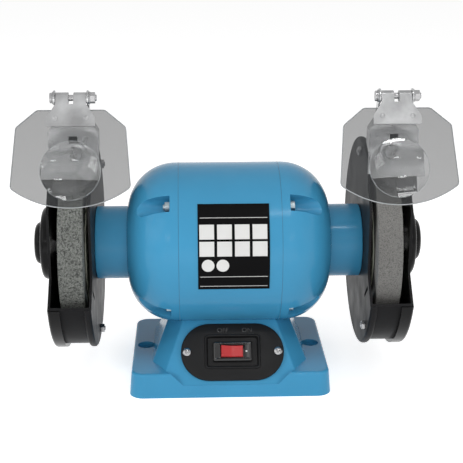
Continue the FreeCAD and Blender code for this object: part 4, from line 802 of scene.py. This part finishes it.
def outer_loop(node, place):
    """The outline of a sheet's front face, in the sheet's own place."""
    inverse = place.inverted()
    work = bmesh.new()
    work.from_mesh(nodes[node].data)
    bmesh.ops.remove_doubles(work, verts=work.verts, dist=SAME_POINT)
    out = place.to_3x3() @ Vector((0, 0, 1))
    front = {face for face in work.faces
             if face.normal.dot(out) > 0.99 and abs((inverse @ face.calc_center_median()).z) < 0.3 * MM}
    rim = [edge for edge in work.edges if len([face for face in edge.link_faces if face in front]) == 1]
    links = {}
    for edge in rim:
        first, second = edge.verts
        links.setdefault(first, []).append(second)
        links.setdefault(second, []).append(first)
    loops = []
    while links:
        start = next(iter(links))
        loop, current = [start], start
        while links.get(current):
            following = links[current].pop()
            links[following].remove(current)
            if following is start:
                break
            loop.append(following)
            current = following
        for vertex in [vertex for vertex in links if not links[vertex]]:
            del links[vertex]
        loops.append([inverse @ vertex.co for vertex in loop])
    work.free()
    return max(loops, key=len) if loops else []


def make_edge_highlight(side):
    """A pale tube round a shield's polished edge: a painted highlight where that edge catches the light."""
    node = f"{side}_eye_shield"
    place = sheet_place(node)
    loop = outer_loop(node, place)
    path = bpy.data.curves.new(node + "_path", "CURVE")
    path.dimensions = "3D"
    path.bevel_depth = 0.45 * MM
    path.bevel_resolution = 2
    line = path.splines.new("POLY")
    line.points.add(len(loop) - 1)
    for spot, point in zip(line.points, loop):
        spot.co = (point.x, point.y, -1.2 * MM, 1.0)
    line.use_cyclic_u = True
    maker = bpy.data.objects.new("edge_maker", path)
    mesh = bpy.data.meshes.new_from_object(maker)
    bpy.data.objects.remove(maker)
    mesh.transform(place)
    settle(bpy.data.objects.new(f"{side}_shield_edge_highlight", mesh), "clear_edge_highlight", f"{side}_shield")


def make_rivets(side):
    """Low round heads on the two pegs that hold a shield to its clip."""
    node = f"{side}_eye_shield"
    place = sheet_place(node)
    inverse = place.inverted()
    pegs = [inverse @ vertex.co for vertex in nodes[node].data.vertices]
    proud = max(point.z for point in pegs)
    ends = [point for point in pegs if point.z > proud - 0.05 * MM]
    shapes = []
    for sign in (-1, 1):
        ring = [point for point in ends if point.x * sign > 0]
        u = (min(point.x for point in ring) + max(point.x for point in ring)) / 2
        v = (min(point.y for point in ring) + max(point.y for point in ring)) / 2
        radius = (max(point.x for point in ring) - min(point.x for point in ring)) / 2 + 0.6 * MM
        dome = [(0.0, 0.02 * MM), (radius, 0.02 * MM), (radius * 0.96, 0.25 * MM),
                (radius * 0.75, 0.5 * MM), (radius * 0.4, 0.66 * MM), (0.0, 0.7 * MM)]
        shapes.append(placed(lathe(dome, 40), place @ Matrix.Translation((u, v, proud))))
    add_piece(f"{side}_clip_rivets", "zinc", f"{side}_shield", "zinc", *merge(*shapes))


for side in SIDES:
    make_lens(side)
    make_edge_highlight(side)
    make_rivets(side)


# Casing seams, as dark rings of painted shade in the joints

def make_seam_shade(side):
    """A thin dark ring where an end bell meets the band of the casing: painted shade in the joint."""
    low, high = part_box("stator_housing")
    sign = -1 if side == "left" else 1
    at = low.x if sign < 0 else high.x
    skin = nodes[f"{side}_end_bell"].data.vertices
    radius = max(math.hypot(v.co.y, v.co.z - SPINDLE_HEIGHT) for v in skin)
    half, proud = 0.22 * MM, 0.06 * MM
    profile = [(radius - 0.5 * MM, -half), (radius + proud * 0.6, -half), (radius + proud, 0.0),
               (radius + proud * 0.6, half), (radius - 0.5 * MM, half), (radius - 0.5 * MM, -half)]
    place = frame_at(SPINDLE + Vector((at, 0, 0)), (1, 0, 0), (0, 1, 0))
    add_piece(f"{side}_seam", "seam_shade", "frame", "blue_paint", *placed(lathe(profile, 160), place))


for side in SIDES:
    make_seam_shade(side)


# Label

def make_label_fields():
    """Blank pale fields and thin rules on the plain label."""
    mesh = nodes["rating_label"].data
    radius = max(math.hypot(v.co.y, v.co.z - SPINDLE_HEIGHT) for v in mesh.vertices) + 0.02 * MM
    turns = [math.atan2(v.co.z - SPINDLE_HEIGHT, -v.co.y) for v in mesh.vertices]
    low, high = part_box("rating_label")
    width, height = high.x - low.x, (max(turns) - min(turns)) * radius

    def on_label(u, v):
        """A point of the label from shares of its width and of its height, from the top left."""
        turn = max(turns) - v * height / radius
        return (low.x + u * width, -radius * math.cos(turn), SPINDLE_HEIGHT + radius * math.sin(turn))

    def strip(rows):
        """A patch from pairs of left and right shares, one pair for each share of the height."""
        points, faces = [], []
        for v, left, right in rows:
            points += [on_label(left, v), on_label(right, v)]
        for row in range(len(rows) - 1):
            faces.append((row * 2, row * 2 + 1, row * 2 + 3, row * 2 + 2))
        return points, faces

    shapes = []
    aspect = width / height
    field_width, field_height, field_pitch, spot_radius = 0.205, 0.165, 0.246, 0.088
    for top in (0.245, 0.435):
        for column in range(4):
            left = 0.022 + column * field_pitch
            shapes.append(strip([(top + field_height * step / 8, left, left + field_width)
                                 for step in range(9)]))
    for middle in (0.14, 0.345):
        rows = []
        for step in range(17):
            turn = math.pi * step / 16
            half = spot_radius * math.sin(turn) + 0.0005
            rows.append((0.705 - spot_radius * aspect * math.cos(turn), middle - half, middle + half))
        shapes.append(strip(rows))
    for v in (0.165, 0.835, 0.955):
        shapes.append(strip([(v, 0.03, 0.97), (v + 0.006, 0.03, 0.97)]))
    add_piece("label_fields", "pale", "frame", "label", *merge(*shapes))


make_label_fields()


# Camera, light and floor

PHOTO_PIXELS = 463
CAMERA_SHIFT_ASIDE = -0.03014
CAMERA_RISE = math.radians(18.03)
CAMERA_RANGE = 0.97465
CAMERA_FOCUS = 1130.37
CAMERA_YAW = math.radians(2.04)
CAMERA_PITCH = math.radians(17.55)


def place_camera():
    """The camera of the photograph: a long lens in front, a little left and above."""
    data = bpy.data.cameras.new("photo_camera")
    data.sensor_width = 36.0
    data.lens = CAMERA_FOCUS / PHOTO_PIXELS * data.sensor_width
    data.clip_start = 0.05
    data.clip_end = 20.0
    camera = bpy.data.objects.new("photo_camera", data)
    camera.location = (CAMERA_SHIFT_ASIDE, -CAMERA_RANGE * math.cos(CAMERA_RISE),
                       SPINDLE_HEIGHT + CAMERA_RANGE * math.sin(CAMERA_RISE))
    camera.rotation_euler = (math.radians(90) - CAMERA_PITCH, 0, -CAMERA_YAW)
    scene.collection.objects.link(camera)
    scene.camera = camera


def add_light(name, power, size, where, aim, mirrored=True):
    """A soft box; size is its width and height in metres, and some are kept out of reflections."""
    data = bpy.data.lights.new(name, "AREA")
    data.shape = "RECTANGLE"
    data.size, data.size_y = size
    data.energy = power
    lamp = bpy.data.objects.new(name, data)
    lamp.location = where
    lamp.visible_glossy = mirrored
    lamp.rotation_euler = (Vector(aim) - Vector(where)).to_track_quat("-Z", "Y").to_euler()
    scene.collection.objects.link(lamp)


def looked_at(tree):
    """One where a thing is seen, mirrored or looked at through glass, and nought where it only lights."""
    seen = tree.nodes.new("ShaderNodeLightPath").outputs
    bent = calculate(tree, "MAXIMUM", seen["Is Glossy Ray"], seen["Is Transmission Ray"])
    return calculate(tree, "MAXIMUM", seen["Is Camera Ray"], bent)


def set_world(ambient):
    """White to the eye, in reflections and through glass, and a dim even light otherwise."""
    world = bpy.data.worlds.new("studio")
    world.use_nodes = True
    scene.world = world
    tree = world.node_tree
    light = tree.nodes["Background"]
    light.inputs["Color"].default_value = colour(1.0, 1.0, 1.0)
    plug(tree, spread(tree, looked_at(tree), 0.0, 1.0, ambient, 1.0), light.inputs["Strength"])


def lay_floor():
    """A pale sheet that stays white to the eye and keeps the machine's soft shadow."""
    mesh = bpy.data.meshes.new("floor")
    half = 6.0
    corners = [(-half, -half, 0), (half, -half, 0), (half, half, 0), (-half, half, 0)]
    mesh.from_pydata(corners, [], [(0, 1, 2, 3)])
    floor = bpy.data.objects.new("floor", mesh)
    scene.collection.objects.link(floor)
    finish, tree, skin = new_finish("studio_floor", Roughness=0.9, Specular_IOR_Level=0.0)
    paper = effect(tree, "mottle", Colour=colour(0.93, 0.93, 0.93), Drift=0.004, Scale=2.0)
    plug(tree, paper, skin["Base Color"])
    skin["Emission Color"].default_value = colour(1.0, 1.0, 1.0)
    glow_unseen, glow_seen = 0.08, 0.58
    plug(tree, spread(tree, looked_at(tree), 0.0, 1.0, glow_unseen, glow_seen), skin["Emission Strength"])
    mesh.materials.append(finish)


def light_studio():
    """Soft boxes round the machine, two strips for the shields and a card at its feet."""
    set_world(0.40)
    middle = (0.0, 0.0, 0.12)
    add_light("key_box", 5.0, (1.4, 1.2), (-1.45, -1.0, 1.15), middle)
    add_light("front_wash", 3.5, (1.6, 1.0), (0.10, -1.6, 0.95), middle, mirrored=False)
    add_light("top_box", 2.0, (1.2, 0.9), (0.0, -0.5, 1.7), middle, mirrored=False)
    add_light("left_side", 7.0, (0.9, 0.6), (-1.25, -0.55, 0.50), (-0.06, -0.02, 0.05), mirrored=False)
    add_light("right_side", 6.0, (0.9, 0.6), (1.25, -0.55, 0.50), (0.06, -0.02, 0.05), mirrored=False)
    add_light("right_flash", 2.6, (0.42, 0.09), (0.30, -0.90, 1.52), (0.09, -0.03, 0.15))
    add_light("left_strip", 0.35, (0.25, 0.05), (-0.42, -1.10, 0.60), (-0.12, -0.06, 0.19))
    add_light("right_strip", 0.35, (0.25, 0.05), (0.42, -1.10, 0.60), (0.12, -0.06, 0.19))
    add_light("low_card", 1.2, (0.9, 0.5), (0.0, -0.72, 0.01), (0.0, -0.3, 0.25))


scene.view_settings.view_transform = "Standard"
place_camera()
light_studio()
lay_floor()
